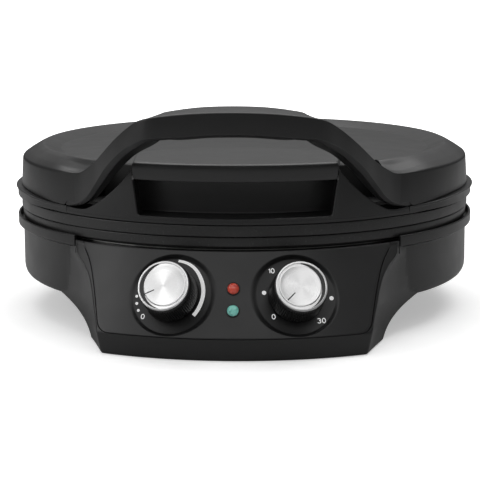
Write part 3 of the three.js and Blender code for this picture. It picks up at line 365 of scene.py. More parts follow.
def panel_outline(inset, foot=28, corner_steps=12, side=22, top=34):
    """Half outline of the panel as (width, z), from the foot's middle round to the top's middle."""
    corner = PANEL_CORNER - inset / 2
    low, high = PANEL_FOOT_Z + inset * OUT, PANEL_TOP_Z - inset * OUT

    def edge(z):
        return panel_edge(z) - inset
    pts = [(x, low) for x in spread(0, edge(low) - corner, foot)]
    for a in spread(0, 90, corner_steps)[1:]:
        z = low + corner * OUT * (1 - cos_d(a))
        pts.append((edge(z) - corner + corner * sin_d(a), z))
    base = pts[-1][1]
    pts += [(edge(z), z) for z in spread(base, high, side)[1:]]
    pts += [(x, high) for x in spread(edge(high), 0, top)[1:]]
    return pts


def cone_matrix(angle, z):
    """Puts +Z on the cone's normal, with +Y up the slope."""
    out = Vector((sin_d(angle) * OUT, -cos_d(angle) * OUT, UP))
    across = Vector((cos_d(angle), sin_d(angle), 0))
    up = out.cross(across)
    m = Matrix((across, up, out)).transposed().to_4x4()
    m.translation = Vector(polar(cone_r(z), angle, z))
    return m


def cone_height(x, y, m):
    """How far along a dial's own axis the cone lies over a local point."""
    depth = 0.0
    for _ in range(6):
        p = m @ Vector((x, y, depth))
        depth += (cone_r(p.z) - math.hypot(p.x, p.y)) * OUT
    return depth


def panel_part():
    """The panel: half by half, rings round each dial's dish that spread out to the outline."""
    all_verts, all_faces = [], []
    for side in (-1, 1):
        m = cone_matrix(side * DIAL_ANGLE, DIAL_Z)
        inv = m.inverted()
        middle = [(0.0, z) for z in spread(PANEL_TOP_Z, PANEL_FOOT_Z, 40)[1:-1]]
        rim = [(side * x, z) for x, z in panel_outline(0.55)] + middle
        local = [inv @ Vector(on_cone(x, z)) for x, z in rim]
        angles = [math.atan2(p.y, p.x) for p in local]

        def ring(radii, rise=None, level=-DISH_DEPTH):
            """Points round the dial: flat at a level, or risen by a share towards the cone."""
            out = []
            for a, r in zip(angles, radii):
                x, y = r * math.cos(a), r * math.sin(a)
                z = level if rise is None else mix(level, cone_height(x, y, m), rise)
                out.append(tuple(m @ Vector((x, y, z))))
            return out
        n = len(angles)
        rings = [ring([r] * n) for r in (SHAFT_HOLE_R, 12, 18, 23)]
        # the lip: tight on the outer side, opening into a soft slope towards the panel's middle
        inward = [-side * math.cos(a) for a in angles]
        heads = [DISH_R + 0.3 + c ** 2 * (2.7 if c > 0 else 0.8) for c in inward]
        for t in (0.0, 0.08, 0.18, 0.3, 0.42, 0.54, 0.66, 0.78, 0.88, 0.95, 1.0):
            rings.append(ring([mix(DISH_FOOT_R, head, t) for head in heads], smooth(t)))
        for t in (0.03, 0.08, 0.15, 0.25, 0.38, 0.52, 0.66, 0.8, 0.92, 1.0):
            rings.append(ring([mix(head, math.hypot(p.x, p.y), t)
                               for p, head in zip(local, heads)], 1))
        for inset, depth in ((0.25, -0.08), (0.07, -0.28), (0.0, -0.6), (0.0, -PANEL_THICK)):
            rings.append([on_cone(side * x, z, depth) for x, z in panel_outline(inset)]
                         + [on_cone(x, z, depth) for x, z in middle])
        rings += [ring([r] * n, level=-DISH_DEPTH - 2) for r in (DISH_R + 2, SHAFT_HOLE_R)]
        verts, faces = loft(rings, looped=True)
        start = len(all_verts)
        all_verts += verts
        all_faces += [tuple(start + k for k in f) for f in faces
                      if any(abs(verts[k][0]) > 1e-4 for k in f)]
    return all_verts, all_faces


# how far the block's flank has run out to the bowl, at shares of the bowl's height off the table
flare = reader([[0, 0.05], [0.3, 0.12], [0.55, 0.22], [0.8, 0.39], [1, 0.6], [1.2, 0.85], [1.4, 1],
                [3, 1]])


def block_edge(z):
    """Half width of the block's front face at a height."""
    return mix(BLOCK_FOOT_W, panel_edge(z) + border(panel_share(z))[0], min(1.0, z / PANEL_FOOT_Z))


def block_section(z, inset=0.0, front=36, side=18, corner=1.6):
    """Plan of the block at a height: front arc, turned corner, concave flank and a plain back."""
    share = clamp(flare(z / BOWL_UNDER)[0])
    r = min(PANEL_FOOT_R, cone_r(z)) - inset
    edge = block_edge(z) - inset
    a = math.degrees(math.asin(edge / r))
    join_r = BOWL_R - BOWL_WALL / 2
    rear = (mix(BLOCK_REAR_W, join_r * sin_d(JOIN_ANGLE), share) - inset,
            -mix(BLOCK_REAR_Y, join_r * cos_d(JOIN_ANGLE), share) + inset / 2)
    elbow = (mix((BLOCK_FOOT_W + BLOCK_REAR_W) / 2, BOWL_R * sin_d(NOTCH_ANGLE), share) - inset,
             -mix((BLOCK_REAR_Y + r * cos_d(a)) / 2, BOWL_R * cos_d(NOTCH_ANGLE), share)
             + inset / 2)
    arc = [(r * sin_d(b), -r * cos_d(b)) for b in spread(0, a, front)]
    flank = bend(arc[-1], elbow, rear, side)[1:]
    p = Vector(arc[-1])
    start = p + (Vector(arc[-2]) - p).normalized() * corner
    end = p + (Vector(flank[0]) - p).normalized() * corner
    back = [(rear[0] - mix(BLOCK_TUCK_LOW, BLOCK_TUCK_HIGH, share), -BLOCK_BACK_Y - inset)]
    right = arc[:-1] + bend(start, p, end, 5) + flank + back
    return right + [(-x, y) for x, y in reversed(right[1:])]


def block_part(inset, low, high, levels, round_foot=0.0):
    """The block between two heights, drawn in by an inset, with a turned edge on the table."""
    rings = []
    for z in spread(low, high, levels):
        drop = max(0.0, round_foot - (z - low))
        extra = round_foot - math.sqrt(max(0.0, round_foot ** 2 - drop ** 2)) if round_foot else 0.0
        rings.append(level(block_section(z, inset + extra), z))
    if round_foot:
        foot = block_section(low, inset + round_foot * 0.4)
        rings.insert(1, level(foot, low + round_foot * 0.2))
    return loft(rings)


def bare(part):
    """A plain mesh object for a cut or join; it is removed again afterwards."""
    mesh = bpy.data.meshes.new("work")
    bm = bmesh.new()
    fill(bm, *part)
    bmesh.ops.remove_doubles(bm, verts=bm.verts, dist=1e-4)
    bmesh.ops.recalc_face_normals(bm, faces=bm.faces)
    bmesh.ops.triangulate(bm, faces=[f for f in bm.faces if len(f.verts) > 4])
    bm.to_mesh(mesh)
    bm.free()
    return linked("work", mesh)


def cut(first, *tools, joined=()):
    """A part with others joined to it and then its tools cut from it, as a new part."""
    base = bare(first)
    made = [base]
    steps = [("UNION", part) for part in joined] + [("DIFFERENCE", part) for part in tools]
    for operation, part in steps:
        mod = base.modifiers.new("op", "BOOLEAN")
        mod.operation = operation
        mod.object = bare(part)
        mod.solver = "MANIFOLD"
        made.append(mod.object)
    shown = base.evaluated_get(bpy.context.evaluated_depsgraph_get())
    result = shown.to_mesh()
    part = [tuple(v.co) for v in result.vertices], [tuple(p.vertices) for p in result.polygons]
    shown.to_mesh_clear()
    for obj in made:
        bpy.data.objects.remove(obj)
    return part


def rim_wedge(inner, outer, start, end, low, high, steps=24):
    """A wedge of a round wall between two angles off the front."""
    corners = [(inner, low), (outer, low), (outer, high), (inner, high)]
    return revolve(corners, steps, start, end)


def seat_part(grow, depth, height):
    """The panel's outline pulled through the block's front, for its seat."""
    half = panel_outline(-grow, 10, 12, 10, 10)
    half = [(x, min(z, PANEL_TOP_Z + 4) if z < PANEL_TOP_Z - 1 else z + 8) for x, z in half]
    loop = half + [(-x, z) for x, z in reversed(half[1:-1])]
    return loft([[on_cone(x, z, d) for x, z in loop] for d in (depth, height)])


def base_part():
    """The bowl with its lip and ledge, joined to the block, and the rooms cut into them."""
    c = BOWL_CORNER
    mouth_r = LIP_R - LIP_THICK
    outer = rounded([
        (0, BOWL_UNDER), (BOWL_R, BOWL_UNDER), (BOWL_R, LIP_FOOT), (LIP_R, LIP_FOOT + 2.2),
        (LIP_R, LIP_TOP), (mouth_r, LIP_TOP), (mouth_r, LEDGE), (0, LEDGE)],
        [0, c, 1.2, 0.7, 0.8, 0.8, 0, 0], 6)
    hollow = [(0, BOWL_UNDER + BOWL_WALL), (BOWL_R - c - BOWL_WALL, BOWL_UNDER + BOWL_WALL),
              (BOWL_R - BOWL_WALL, BOWL_UNDER + c), (BOWL_R - BOWL_WALL, LIP_FOOT),
              (LEDGE_R, LEDGE - BOWL_WALL), (LEDGE_R, LEDGE + 20), (0, LEDGE + 20)]
    room = cut(block_part(BOWL_WALL + PANEL_THICK, BLOCK_UNDER + 3, MOUTH - 3, 12),
               revolve(bar(111, 0, LEDGE), 96))
    tools = [revolve(hollow, 128), revolve(bar(mouth_r, LEDGE, 100), 192), room,
             seat_part(0.35, -PANEL_THICK - 0.4, 14),
             rim_wedge(140, 200, -NOTCH_ANGLE, NOTCH_ANGLE, MOUTH, 90, 64),
             revolve(bar(108, 0, LEDGE), 96)]
    for side in (-1, 1):
        seat = turned(bar(PAD_R + 0.3, -1, PAD_THICK + 0.3), 48)
        tools.append(at_spot(seat, FRONT_PAD, side))
        width = math.degrees(NOTCH_W / BOWL_R)
        start, end = sorted((side * NOTCH_ANGLE, side * (NOTCH_ANGLE + width)))
        tools.append(rim_wedge(BOWL_R - 1.6, 200, start, end, MOUTH - NOTCH_DEPTH, 90, 2))
        # room behind the dish's floor, which lies deeper than the bowl's wall there
        dish = turned(bar(DISH_R - 0.9, -DISH_DEPTH - 1.2, 8), 64)
        tools.append(moved(dish, cone_matrix(side * DIAL_ANGLE, DIAL_Z)))
    return cut(revolve(outer, 224), *tools, joined=[block_part(0, BLOCK_UNDER, MOUTH, 56, 1.2)])


def plate_parts():
    """The two baking plates: a flat bed, a step up to the rim and the rim's band."""
    lower = rounded([
        (0, 70), (150, 70), (157, 79), (171, 79), (171, 72.2), (166, 72.2), (166, 70), (157, 70),
        (150, 66), (0, 66)], [0, 4, 1.2, 1.0, 0.8, 0.3, 0.3, 0.3, 3, 0], 5)
    upper = rounded([
        (0, 85.7), (150, 85.7), (157, 79.3), (172, 79.3), (172, 87), (157, 87), (150, PLATE_TOP),
        (0, PLATE_TOP)], [0, 4, 1.2, 0.9, 0.6, 1, 3, 0], 5)
    return revolve(lower, 224), revolve(upper, 224)


# shares of the handle's reach, top, bottom and depth at shares of its half span
handle_at = reader([
    [0, 1, 1, 1, 1],
    [0.13, 0.996, 0.994, 0.995, 1],
    [0.25, 0.985, 0.978, 0.975, 0.97],
    [0.38, 0.96, 0.945, 0.955, 0.9],
    [0.47, 0.93, 0.91, 0.93, 0.78],
    [0.53, 0.87, 0.86, 0.874, 0.62],
    [0.6, 0.755, 0.735, 0.778, 0.48],
    [0.67, 0.637, 0.58, 0.648, 0.4],
    [0.74, 0.495, 0.4, 0.482, 0.34],
    [0.8, 0.36, 0.238, 0.305, 0.3],
    [0.86, 0.24, 0.12, 0.135, 0.25],
    [0.92, 0.126, 0.03, 0.045, 0.18],
    [1, 0, 0, 0, 0.1],
])


def handle_spot(share):
    """The handle at a share of its half span; past 1 it runs on in the lid's wall."""
    s = abs(share)
    sign = -1 if share < 0 else 1
    if s <= 1:
        reach, top, bottom, depth = handle_at(s)
        return dict(x=share * FOOT_SPAN, y=-mix(FOOT_REACH, BAR_REACH, reach),
                    top=mix(WALL_TOP, BAR_TOP, top), bottom=mix(FOOT_BOTTOM, BAR_BOTTOM, bottom),
                    depth=BAR_DEPTH * depth, lean=mix(-3, 1.5, clamp(depth)),
                    tilt=smooth((s - 0.75) / 0.25) * 1.3)
    angle = WING_ANGLE + 0.05 + (s - 1) * 90
    r = mix(171.45, 170.2, (s - 1) / (HANDLE_PAST - 1))
    return dict(x=sign * r * sin_d(angle), y=-r * cos_d(angle), top=WALL_TOP - (s - 1) * 12,
                bottom=FOOT_BOTTOM + (s - 1) * 100, depth=3.0, lean=-1.5, tilt=1.3)


def handle_line(count):
    """Places along the handle with the way in from its face."""
    shares = spread(-HANDLE_PAST, HANDLE_PAST, count)
    spots = [handle_spot(s) for s in shares]
    for i, spot in enumerate(spots):
        a, b = spots[max(0, i - 1)], spots[min(len(spots) - 1, i + 1)]
        length = math.hypot(b["x"] - a["x"], b["y"] - a["y"])
        spot["inward"] = (-(b["y"] - a["y"]) / length, (b["x"] - a["x"]) / length)
        spot["share"] = shares[i]
    return spots


def on_handle(spot, outline):
    """An outline of (way in, height) as points at a place along the handle."""
    nx, ny = spot["inward"]
    return [(spot["x"] + nx * d, spot["y"] + ny * d, z) for d, z in outline]


def handle_part():
    """The arch: flat faced, with a bevel under its front, widest at the feet's outer ends."""
    sections = []
    for spot in handle_line(150):
        depth, top, bottom = spot["depth"], spot["top"], spot["bottom"]
        thick = clamp((depth / BAR_DEPTH - 0.3) / 0.5)
        bevel = min(depth / 3, mix(4.5, 1.5, clamp(depth / BAR_DEPTH)))
        outline = rounded([
            (0, bottom + bevel), (spot["tilt"], top), (depth, top + spot["lean"]), (depth, bottom),
            (bevel, bottom)],
            [0.7, mix(0.8, 1.3, thick), mix(0.8, 3.0, thick), mix(1.0, 2.5, thick), 0.6], 6)
        sections.append(on_handle(spot, outline))
    return loft(sections)


def handle_cover_part():
    """The strip under the handle's bar, thinner towards its ends."""
    sections = []
    for spot in handle_line(150):
        inside = COVER_SHARE - abs(spot["share"])
        if inside < 0:
            continue
        high = spot["bottom"] - 0.3
        low = high - mix(0.3, 1.2, smooth(inside / 0.1))
        front, back = COVER_SETBACK, spot["depth"] - COVER_SETBACK
        turn = (high - low) / 3
        outline = rounded([(front, high), (front, low), (back, low), (back, high)],
                          [0, turn, turn, 0], 3)
        sections.append(on_handle(spot, outline))
    return loft(sections)


def wing_edge(angle):
    """Radius and height of the handle's top edge where it passes an angle off the front."""
    low, high = 0.6, 1.0
    for _ in range(24):
        s = (low + high) / 2
        spot = handle_spot(s)
        if math.degrees(math.atan2(spot["x"], -spot["y"])) < angle:
            low = s
        else:
            high = s
    spot = handle_spot((low + high) / 2)
    return math.hypot(spot["x"], spot["y"]), spot["top"]


def rim_top(angle):
    """Height of the bead's top, which dips a little towards the handle's feet."""
    return mix(BEAD_TOP - 2.7, BEAD_TOP - 0.2, smooth((min(angle, 360 - angle) - 46) / 24))


def shell_part():
    """Lid shell behind the pocket's ends: wall, turned shoulder, crest and slope into the dish."""
    sections = []
    for angle in spread(POCKET_ANGLE, 360 - POCKET_ANGLE, 260):
        off = min(angle, 360 - angle)
        top_r, top_z = WALL_TOP_R, WALL_TOP
        if off < WING_ANGLE:
            edge_r, edge_z = wing_edge(off)
            top_r, top_z = max(WALL_TOP_R, edge_r - 2.2), max(WALL_TOP, edge_z - 0.4)
        # beside the handle's feet the shoulder sags between the wall and the crest
        pull = smooth((56 - off) / 14)
        sag = 2.4 * pull
        swell = 0.5 * (1 - pull)
        foot_z = rim_top(angle) + 0.3 if off > 46 else BEAD_TOP + 0.3
        outer = [
            (WALL_FOOT_R, foot_z), (top_r, top_z),
            (mix(top_r, CREST_R, 0.35), mix(top_z, CREST_Z, 0.35) + swell - sag),
            (mix(top_r, CREST_R, 0.72), mix(top_z, CREST_Z, 0.72) + swell - sag * 0.8),
            (CREST_R, CREST_Z), (LID_DISH_R, LID_DISH_Z), (LID_DISH_R, LID_DISH_Z - LID_WALL),
            (CREST_R - 2, CREST_Z - 3.4), (WALL_TOP_R - LID_WALL, WALL_TOP - 3.5),
            (WALL_FOOT_R - LID_WALL, foot_z)]
        radii = [0.4, mix(3.4, 0.8, pull), 12, 12, 4.5, 0.2, 0, 0, 2, 0]
        sections.append(at_angle(rounded(outer, radii, 6), angle))
    return loft(sections)


def dish_part():
    """The domed disc in the middle of the lid."""
    drops = ((0, 0), (30, 0.12), (47, 0.45), (70, 1.25), (98.7, 2.34), (120, 3.7), (134, 4.75))
    edge = LID_DISH_R + 0.4
    return revolve([(r, DOME_Z - drop) for r, drop in drops]
                   + [(edge, LID_DISH_Z + 0.05), (edge, LID_DISH_Z - LID_WALL),
                      (0, DOME_Z - LID_WALL)], 192)


def pocket_parts():
    """The hollow beside the handle's feet: its back wall and its floor, in a darker plastic as
    painted shade.
    """
    floor_z, inner = BEAD_TOP + 0.3, POCKET_R - LID_WALL
    angles = (-POCKET_ANGLE - 1, POCKET_ANGLE + 1)
    back = [(inner, floor_z), (POCKET_R, floor_z), (POCKET_R, LID_DISH_Z + 1.5),
            (POCKET_R - 5.5, LID_DISH_Z + 1.5)]
    floor = [(inner, floor_z), (168, floor_z), (168, floor_z + 2.5), (inner, floor_z + 2.5)]
    # the recess's tub takes the floor's middle, up to the wall round the dome
    plan = [(-76.7, -200), (76.7, -200), (76.7, -70), (-76.7, -70)]
    tub = loft([level(plan, z) for z in (90, floor_z + 2.9)])
    return [revolve(rounded(back, [0, 0, 1.2, 0], 4), 96, *angles),
            cut(revolve(floor, 96, *angles), cut(tub, revolve(bar(144.5, 80, 130), 96)))]


def rim_parts():
    """The lid's rim: a band under a thin bead round the sides and back, a step under the apron."""
    low, foot = RIM_FOOT, APRON_ANGLE

    def band(angle):
        """Outline of the band and its bead, which fade into the wall towards the handle's feet."""
        reach = smooth((min(angle, 360 - angle) - foot) / 16)
        band_r, bead_r = mix(171.8, 174.8, reach), mix(171.9, 176, reach)
        top = rim_top(angle)
        return rounded([
            (RIM_INNER_R, low), (171.4, low), (band_r, low + 0.9), (band_r, top - 1.9),
            (bead_r, top - 1.4), (bead_r, top - 0.35), (mix(171.8, 175.2, reach), top),
            (WALL_FOOT_R - 0.1, top), (RIM_INNER_R, top)],
            [0, 0.3, 0.5, 0.3, 0.45, 0.45, 0.2, 0.2, 0], 4)
    step = rounded([(RIM_INNER_R, low), (171.2, low), (171.7, low + 0.5), (171.7, PLATE_TOP),
                    (RIM_INNER_R, PLATE_TOP)], [0, 0.2, 0.3, 0, 0], 4)
    return [loft([at_angle(band(a), a) for a in spread(foot, 360 - foot, 240)]),
            loft([at_angle(step, a) for a in spread(-foot, foot, 72)])]


apron_rise = reader([[0, 1], [0.54, 1], [0.567, 0.88], [0.61, 0.7], [0.653, 0.554], [0.732, 0.329],
                     [0.809, 0.16], [0.857, 0.09], [0.912, 0.07], [0.96, 0.075], [1, 0.085]])


def recess_loop(grow, radius, over=0.0, turn=2.4, across=22, up=8):
    """The recess's outline on a round wall, wider at the top, with turned lower corners."""
    low, high = RECESS_LOW - grow, NOSE_LOW - 0.3 + over
    wide, narrow = RECESS_W_TOP + grow, RECESS_W_LOW + grow
    outline = rounded([(-narrow, low), (narrow, low), (wide, high), (-wide, high)],
                      [turn, turn, 0, 0], 5)
    dense = []
    for i, p in enumerate(outline):
        q = outline[(i + 1) % len(outline)]
        gap = math.hypot(q[0] - p[0], q[1] - p[1])
        n = across if gap > 60 else up if gap > 8 else 1
        dense += [(mix(p[0], q[0], k / n), mix(p[1], q[1], k / n)) for k in range(n)]
    return [polar(radius, math.degrees(math.asin(x / radius)), z) for x, z in dense]


def apron_part():
    """Front apron with the finger recess let into it."""
    inner = APRON_R - APRON_THICK
    sections = []
    for share in spread(-1, 1, 200):
        angle = share * APRON_ANGLE
        top = mix(APRON_FOOT, APRON_TOP, clamp(apron_rise(abs(share))[0]))
        outline = rounded([(APRON_R, APRON_FOOT), (APRON_R, top), (inner, top),
                           (inner, APRON_FOOT)],
                          [0, min(1.1, (top - APRON_FOOT) * 0.45), 0.5, 0], 5)
        sections.append(at_angle(outline, angle))
    wall = loft(sections)
    tub = loft([recess_loop(TUB_WALL, APRON_R - depth) for depth in (1.2, RECESS_DEPTH + TUB_WALL)])
    # the room inside: straight walls, a turned foot to the back wall, and a turned front lip
    room = loft([recess_loop(grow, APRON_R - depth, 3.0) for grow, depth in (
        (1.4, -3.0), (0.9, -0.05), (0.45, 0.35), (0.12, 0.8), (0.0, 1.4), (0.0, RECESS_DEPTH - 1.5),
        (-0.4, RECESS_DEPTH - 0.45), (-1.5, RECESS_DEPTH))])
    over = loft([level(nose_loop(0.35), z) for z in (NOSE_LOW - 0.3, NOSE_TOP + 4)])
    return cut(wall, room, over, joined=[tub])


def nose_loop(grow, front=44, tail=30):
    """Plan of the nose: an arc over the recess and a tail that narrows into the dome."""
    width = NOSE_W + grow
    a = math.degrees(math.asin((width - 2) / (NOSE_R + grow)))
    tail_run = 40
    loop = [polar(NOSE_R + grow, b, 0)[:2] for b in spread(-a, a, front)]
    loop += [(width * mix(cos_d(b), cos_d(b) ** 3, 0.35),
              -NOSE_TAIL - tail_run + (tail_run + grow) * sin_d(b)) for b in spread(0, 180, tail)]
    return loop


def nose_part():
    """Nose: a ledge over the recess whose top runs back into the dome."""
    levels = [(NOSE_LOW, -1.7), (NOSE_LOW + 0.3, -1.2), (NOSE_LOW + 1, -0.9), (NOSE_LOW + 4, -0.45),
              (NOSE_LOW + 7, -0.05), (NOSE_LOW + 8.6, 0.0), (NOSE_TOP - 2.0, -0.1),
              (NOSE_TOP - 1.1, -0.45), (NOSE_TOP - 0.4, -1.1), (NOSE_TOP, -2.2)]
    levels += [(NOSE_TOP, grow) for grow in (-8, -16, -28, -42)]
    rings = [level(nose_loop(grow), z) for z, grow in levels]
    wall_r = POCKET_R + 0.6
    dish = revolve([(0, DOME_Z - 0.05), (47, DOME_Z - 0.5), (98.7, DOME_Z - 2.4),
                    (LID_DISH_R, LID_DISH_Z), (wall_r, LID_DISH_Z), (wall_r, 90), (0, 90)], 192)
    return cut(loft(rings), dish)


HINGE_LINE = Matrix.Translation((0, HINGE_Y, HINGE_Z)) @ Matrix.Rotation(math.pi / 2, 4, "Y")


def knuckle(start, end, steps):
    """Side view of the round end about the hinge's pin, between two angles up from the back."""
    return [(HINGE_Y + KNUCKLE_R * cos_d(a), HINGE_Z + KNUCKLE_R * sin_d(a))
            for a in spread(start, end, steps)]


def slab(outline, left, right, turn=1.0):
    """A side view of (y, z) given a width, with its edges turned towards its middle."""
    cy, cz = (sum(p[k] for p in outline) / len(outline) for k in (0, 1))

    def drawn_in(x, inset):
        shares = [inset / math.hypot(y - cy, z - cz) for y, z in outline]
        return [(x, mix(y, cy, t), mix(z, cz, t)) for (y, z), t in zip(outline, shares)]
    return loft([drawn_in(x, inset) for x, inset in (
        (left, turn), (left + turn * 0.3, turn * 0.3), (left + turn, 0), (right - turn, 0),
        (right - turn * 0.3, turn * 0.3), (right, turn))])


def hinge_parts():
    """The bracket on the bowl's back and the lid's arms, cut to the walls they stand on."""
    front = HINGE_Y - KNUCKLE_R
    body = ([(160, 40), (BOWL_R + 9, 40)] + knuckle(-20, 180, 24) + [(front, 71.5), (160, 71.5)])
    lip_r = LIP_R + 0.3
    room = revolve([(0, 20), (BOWL_R + 0.3, 20), (BOWL_R + 0.3, LIP_FOOT), (lip_r, LIP_FOOT + 3.4),
                    (lip_r, 76), (0, 76)], 192)
    hole = moved(turned(bar(3.35, -90, 90), 48), HINGE_LINE)
    arm = knuckle(-170, 60, 28) + [(WALL_FOOT_R + 10, 112), (160, 112), (160, PLATE_TOP),
                                   (front, PLATE_TOP)]
    lid_room = revolve([(0, 60), (172.3, 60), (172.3, 87), (176.3, 88), (176.3, 99), (172.1, 99.3),
                        (170.8, WALL_TOP + 0.3), (0, WALL_TOP + 0.3)], 192)
    arm_left = BRACKET_HALF_W + HINGE_GAP
    return (cut(slab(body, -BRACKET_HALF_W, BRACKET_HALF_W), room, hole),
            [cut(slab(arm, x, x + ARM_W), lid_room, hole) for x in (arm_left, -arm_left - ARM_W)])


def pin_part():
    """The hinge's pin, with a head at each end."""
    reach = BRACKET_HALF_W + HINGE_GAP + ARM_W + 0.3
    outline = rounded([
        (0, -reach - 2), (5, -reach - 2), (5, -reach), (3, -reach), (3, reach), (5, reach),
        (5, reach + 2), (0, reach + 2)], [0, 0.8, 0.2, 0, 0, 0.2, 0.8, 0], 4)
    return moved(turned(outline, 48), HINGE_LINE)


KNOB_FOOT = -0.7
KNOB_TOP = KNOB_FOOT + 18.2
KNOB_RIBS = 72
CAP_THICK = 2.0
CAP_TOP = KNOB_TOP + 0.3 + CAP_THICK
CAP_OFFSET = 0.95
INK_FOOT, INK_TOP = -DISH_DEPTH - 0.02, -DISH_DEPTH + 0.14
FIGURE_H = 3.2
FIGURE_STROKE = 0.62


def knob_part():
    """Knurled skirt with a turned top edge and a hollow foot."""
    foot, top = KNOB_FOOT, KNOB_TOP
    outline = [(17.2, foot), (18.6, foot + 0.2), (19.2, foot + 0.9), (19.15, foot + 3),
               (18.75, foot + 12), (18.5, top - 1.6), (18.3, top - 0.7), (17.9, top - 0.2),
               (17.2, top), (3.3, top), (3.3, top - 2.5), (15.9, top - 2.5), (16.7, foot)]
    sections = []
    for a in circle(KNOB_RIBS * 6):
        rib = 0.42 * (0.5 + 0.5 * math.cos(a * KNOB_RIBS)) ** 2
        radii = [r - rib if 2 <= k <= 6 else r for k, (r, _) in enumerate(outline)]
        sections.append([(r * math.cos(a), r * math.sin(a), z)
                         for r, (_, z) in zip(radii, outline)])
    return loft(sections, looped=True)


def cap_part(side):
    """Spun cap: bright rim, a groove, and a face set a little towards the panel's middle."""
    # radius, drop below the top, and share of the face's offset
    rows = ((0.01, 0.32, 1), (6, 0.3, 1), (10, 0.24, 1), (13.6, 0.12, 1), (14.1, 0.05, 1),
            (14.4, 0.12, 1), (14.55, 0.35, 1), (14.6, 0.95, 1), (14.7, 1.15, 0.9), (16.1, 1.15, 0),
            (16.25, 1.0, 0), (16.3, 0.4, 0), (16.4, 0.15, 0), (16.6, 0, 0), (17.1, 0, 0),
            (17.5, 0.14, 0), (17.72, 0.42, 0), (17.8, 0.85, 0), (17.8, CAP_THICK, 0),
            (0.01, CAP_THICK, 0))
    return loft([[(r * math.cos(a) - side * CAP_OFFSET * share,
                   r * math.sin(a) + CAP_OFFSET * 0.35 * share, CAP_TOP - drop)
                  for r, drop, share in rows] for a in circle(144)], looped=True)


def cap_gap_part(side):
    """Dark strip in the gap between the cap's face and its rim, widest on the outer side: painted
    shade in the groove.
    """
    z = CAP_TOP - 1.12
    sections = []
    for a in spread(-78, 78, 60):
        wide = cos_d(a * 1.15)
        turn = math.radians((180 if side < 0 else 0) + side * a + 8)
        inner, outer = 16.2 - 2.3 * wide, 16.22
        sections.append([(r * math.cos(turn), r * math.sin(turn), h)
                         for r, h in ((inner, z), (outer, z), (outer, z + 0.9), (inner, z + 0.7))])
    return loft(sections)


def pointer_part(turn):
    """Dark line on the cap from near the middle to the rim, at an angle clockwise from up."""
    box = []
    for r, w in ((6.6, 0.34), (10.5, 0.4), (14.2, 0.46)):
        z = CAP_TOP - 0.27 + 0.16 * (r / 14.2) ** 2
        box.append([(-w, r, z), (-w * 0.6, r, z + 0.09), (w * 0.6, r, z + 0.09), (w, r, z)])
    return moved(loft(box), Matrix.Rotation(-math.radians(turn), 4, "Z"))


def mark(points, widths):
    """A printed line of changing width along points of a dish's floor."""
    sections = []
    for i, (x, y) in enumerate(points):
        a, b = points[max(0, i - 1)], points[min(len(points) - 1, i + 1)]
        half = widths[i] / 2 / math.hypot(b[0] - a[0], b[1] - a[1])
        nx, ny = (a[1] - b[1]) * half, (b[0] - a[0]) * half
        sections.append([(x + nx, y + ny, INK_FOOT), (x + nx, y + ny, INK_TOP),
                         (x - nx, y - ny, INK_TOP), (x - nx, y - ny, INK_FOOT)])
    return loft(sections)


def dial_point(angle, radius):
    return (radius * sin_d(angle), radius * cos_d(angle))


def disc(angle, radius, size):
    """A printed dot."""
    cx, cy = dial_point(angle, radius)
    return loft([[(cx + size * math.cos(t), cy + size * math.sin(t), z) for t in circle(20)]
                 for z in (INK_FOOT, INK_TOP)])


STROKES = {
    "0": [[(0.5 + 0.38 * sin_d(a), 0.5 + 0.5 * cos_d(a)) for a in spread(0, 360, 22)]],
    "1": [[(0.28, 0.78), (0.55, 1.0), (0.55, 0.0)]],
    "3": [[(0.46 + 0.34 * sin_d(a), 0.77 + 0.23 * cos_d(a)) for a in spread(-65, 180, 14)],
          [(0.46 + 0.4 * sin_d(a), 0.27 + 0.27 * cos_d(a)) for a in spread(0, 245, 16)]],
}


def figures(text, angle, radius, step=1.0):
    """Plain upright numerals on the dish's floor, a step of their height apart."""
    cx, cy = dial_point(angle, radius)
    parts = []
    for i, letter in enumerate(text):
        left = cx + (i - (len(text) - 1) / 2) * step * FIGURE_H
        for line in STROKES[letter]:
            points = [(left + (u - 0.5) * FIGURE_H * 0.9, cy + (v - 0.5) * FIGURE_H)
                      for u, v in line]
            parts.append(mark(points, [FIGURE_STROKE] * len(line)))
    return parts


def sweep_mark():
    """The tapered arc of the left dial's scale, thin at its start."""
    radius = reader([[2, 25.8], [20, 25.4], [35, 24.6], [50, 23.5], [66, 22.7], [80, 22.2],
                     [99, 21.6], [127, 21.5]])
    return mark([dial_point(angle, radius(angle)[0]) for angle in spread(2, 127, 40)],
                [mix(1.7, 2.7, min(1, t * 2)) for t in spread(0, 1, 40)])


def prints(side):
    """All the marks round one dial."""
    parts = []
    if side < 0:
        parts += figures("0", 230, 24.3)
        parts += [disc(a, 25.2, 1.0) for a in (243, 255, 267)]
        parts.append(sweep_mark())
    else:
        parts += figures("0", 231, 21.5)
        parts += figures("10", 322.2, 24.5, step=0.66)
        parts += figures("30", 138, 24.1)
        parts += [disc(280, 21.9, 1.5), disc(95, 25.0, 1.5)]
    m = cone_matrix(side * DIAL_ANGLE, DIAL_Z)
    return [moved(p, m) for p in parts]


def lens_part():
    return turned([(0, -5), (3.5, -5), (3.5, 0.1), (3.9, 0.12), (4.0, 0.7), (3.7, 1.4), (3.1, 2.1),
                   (2.2, 2.7), (1.1, 3.05), (0, 3.15)], 64)


def bezel_part():
    """Dark ring that holds a lamp's lens."""
    return turned(rounded([(3.6, -0.3), (4.75, -0.3), (4.6, 0.75), (4.05, 0.95), (3.9, 0.2)],
                          [0, 0, 0.3, 0.2, 0], 4), 64)


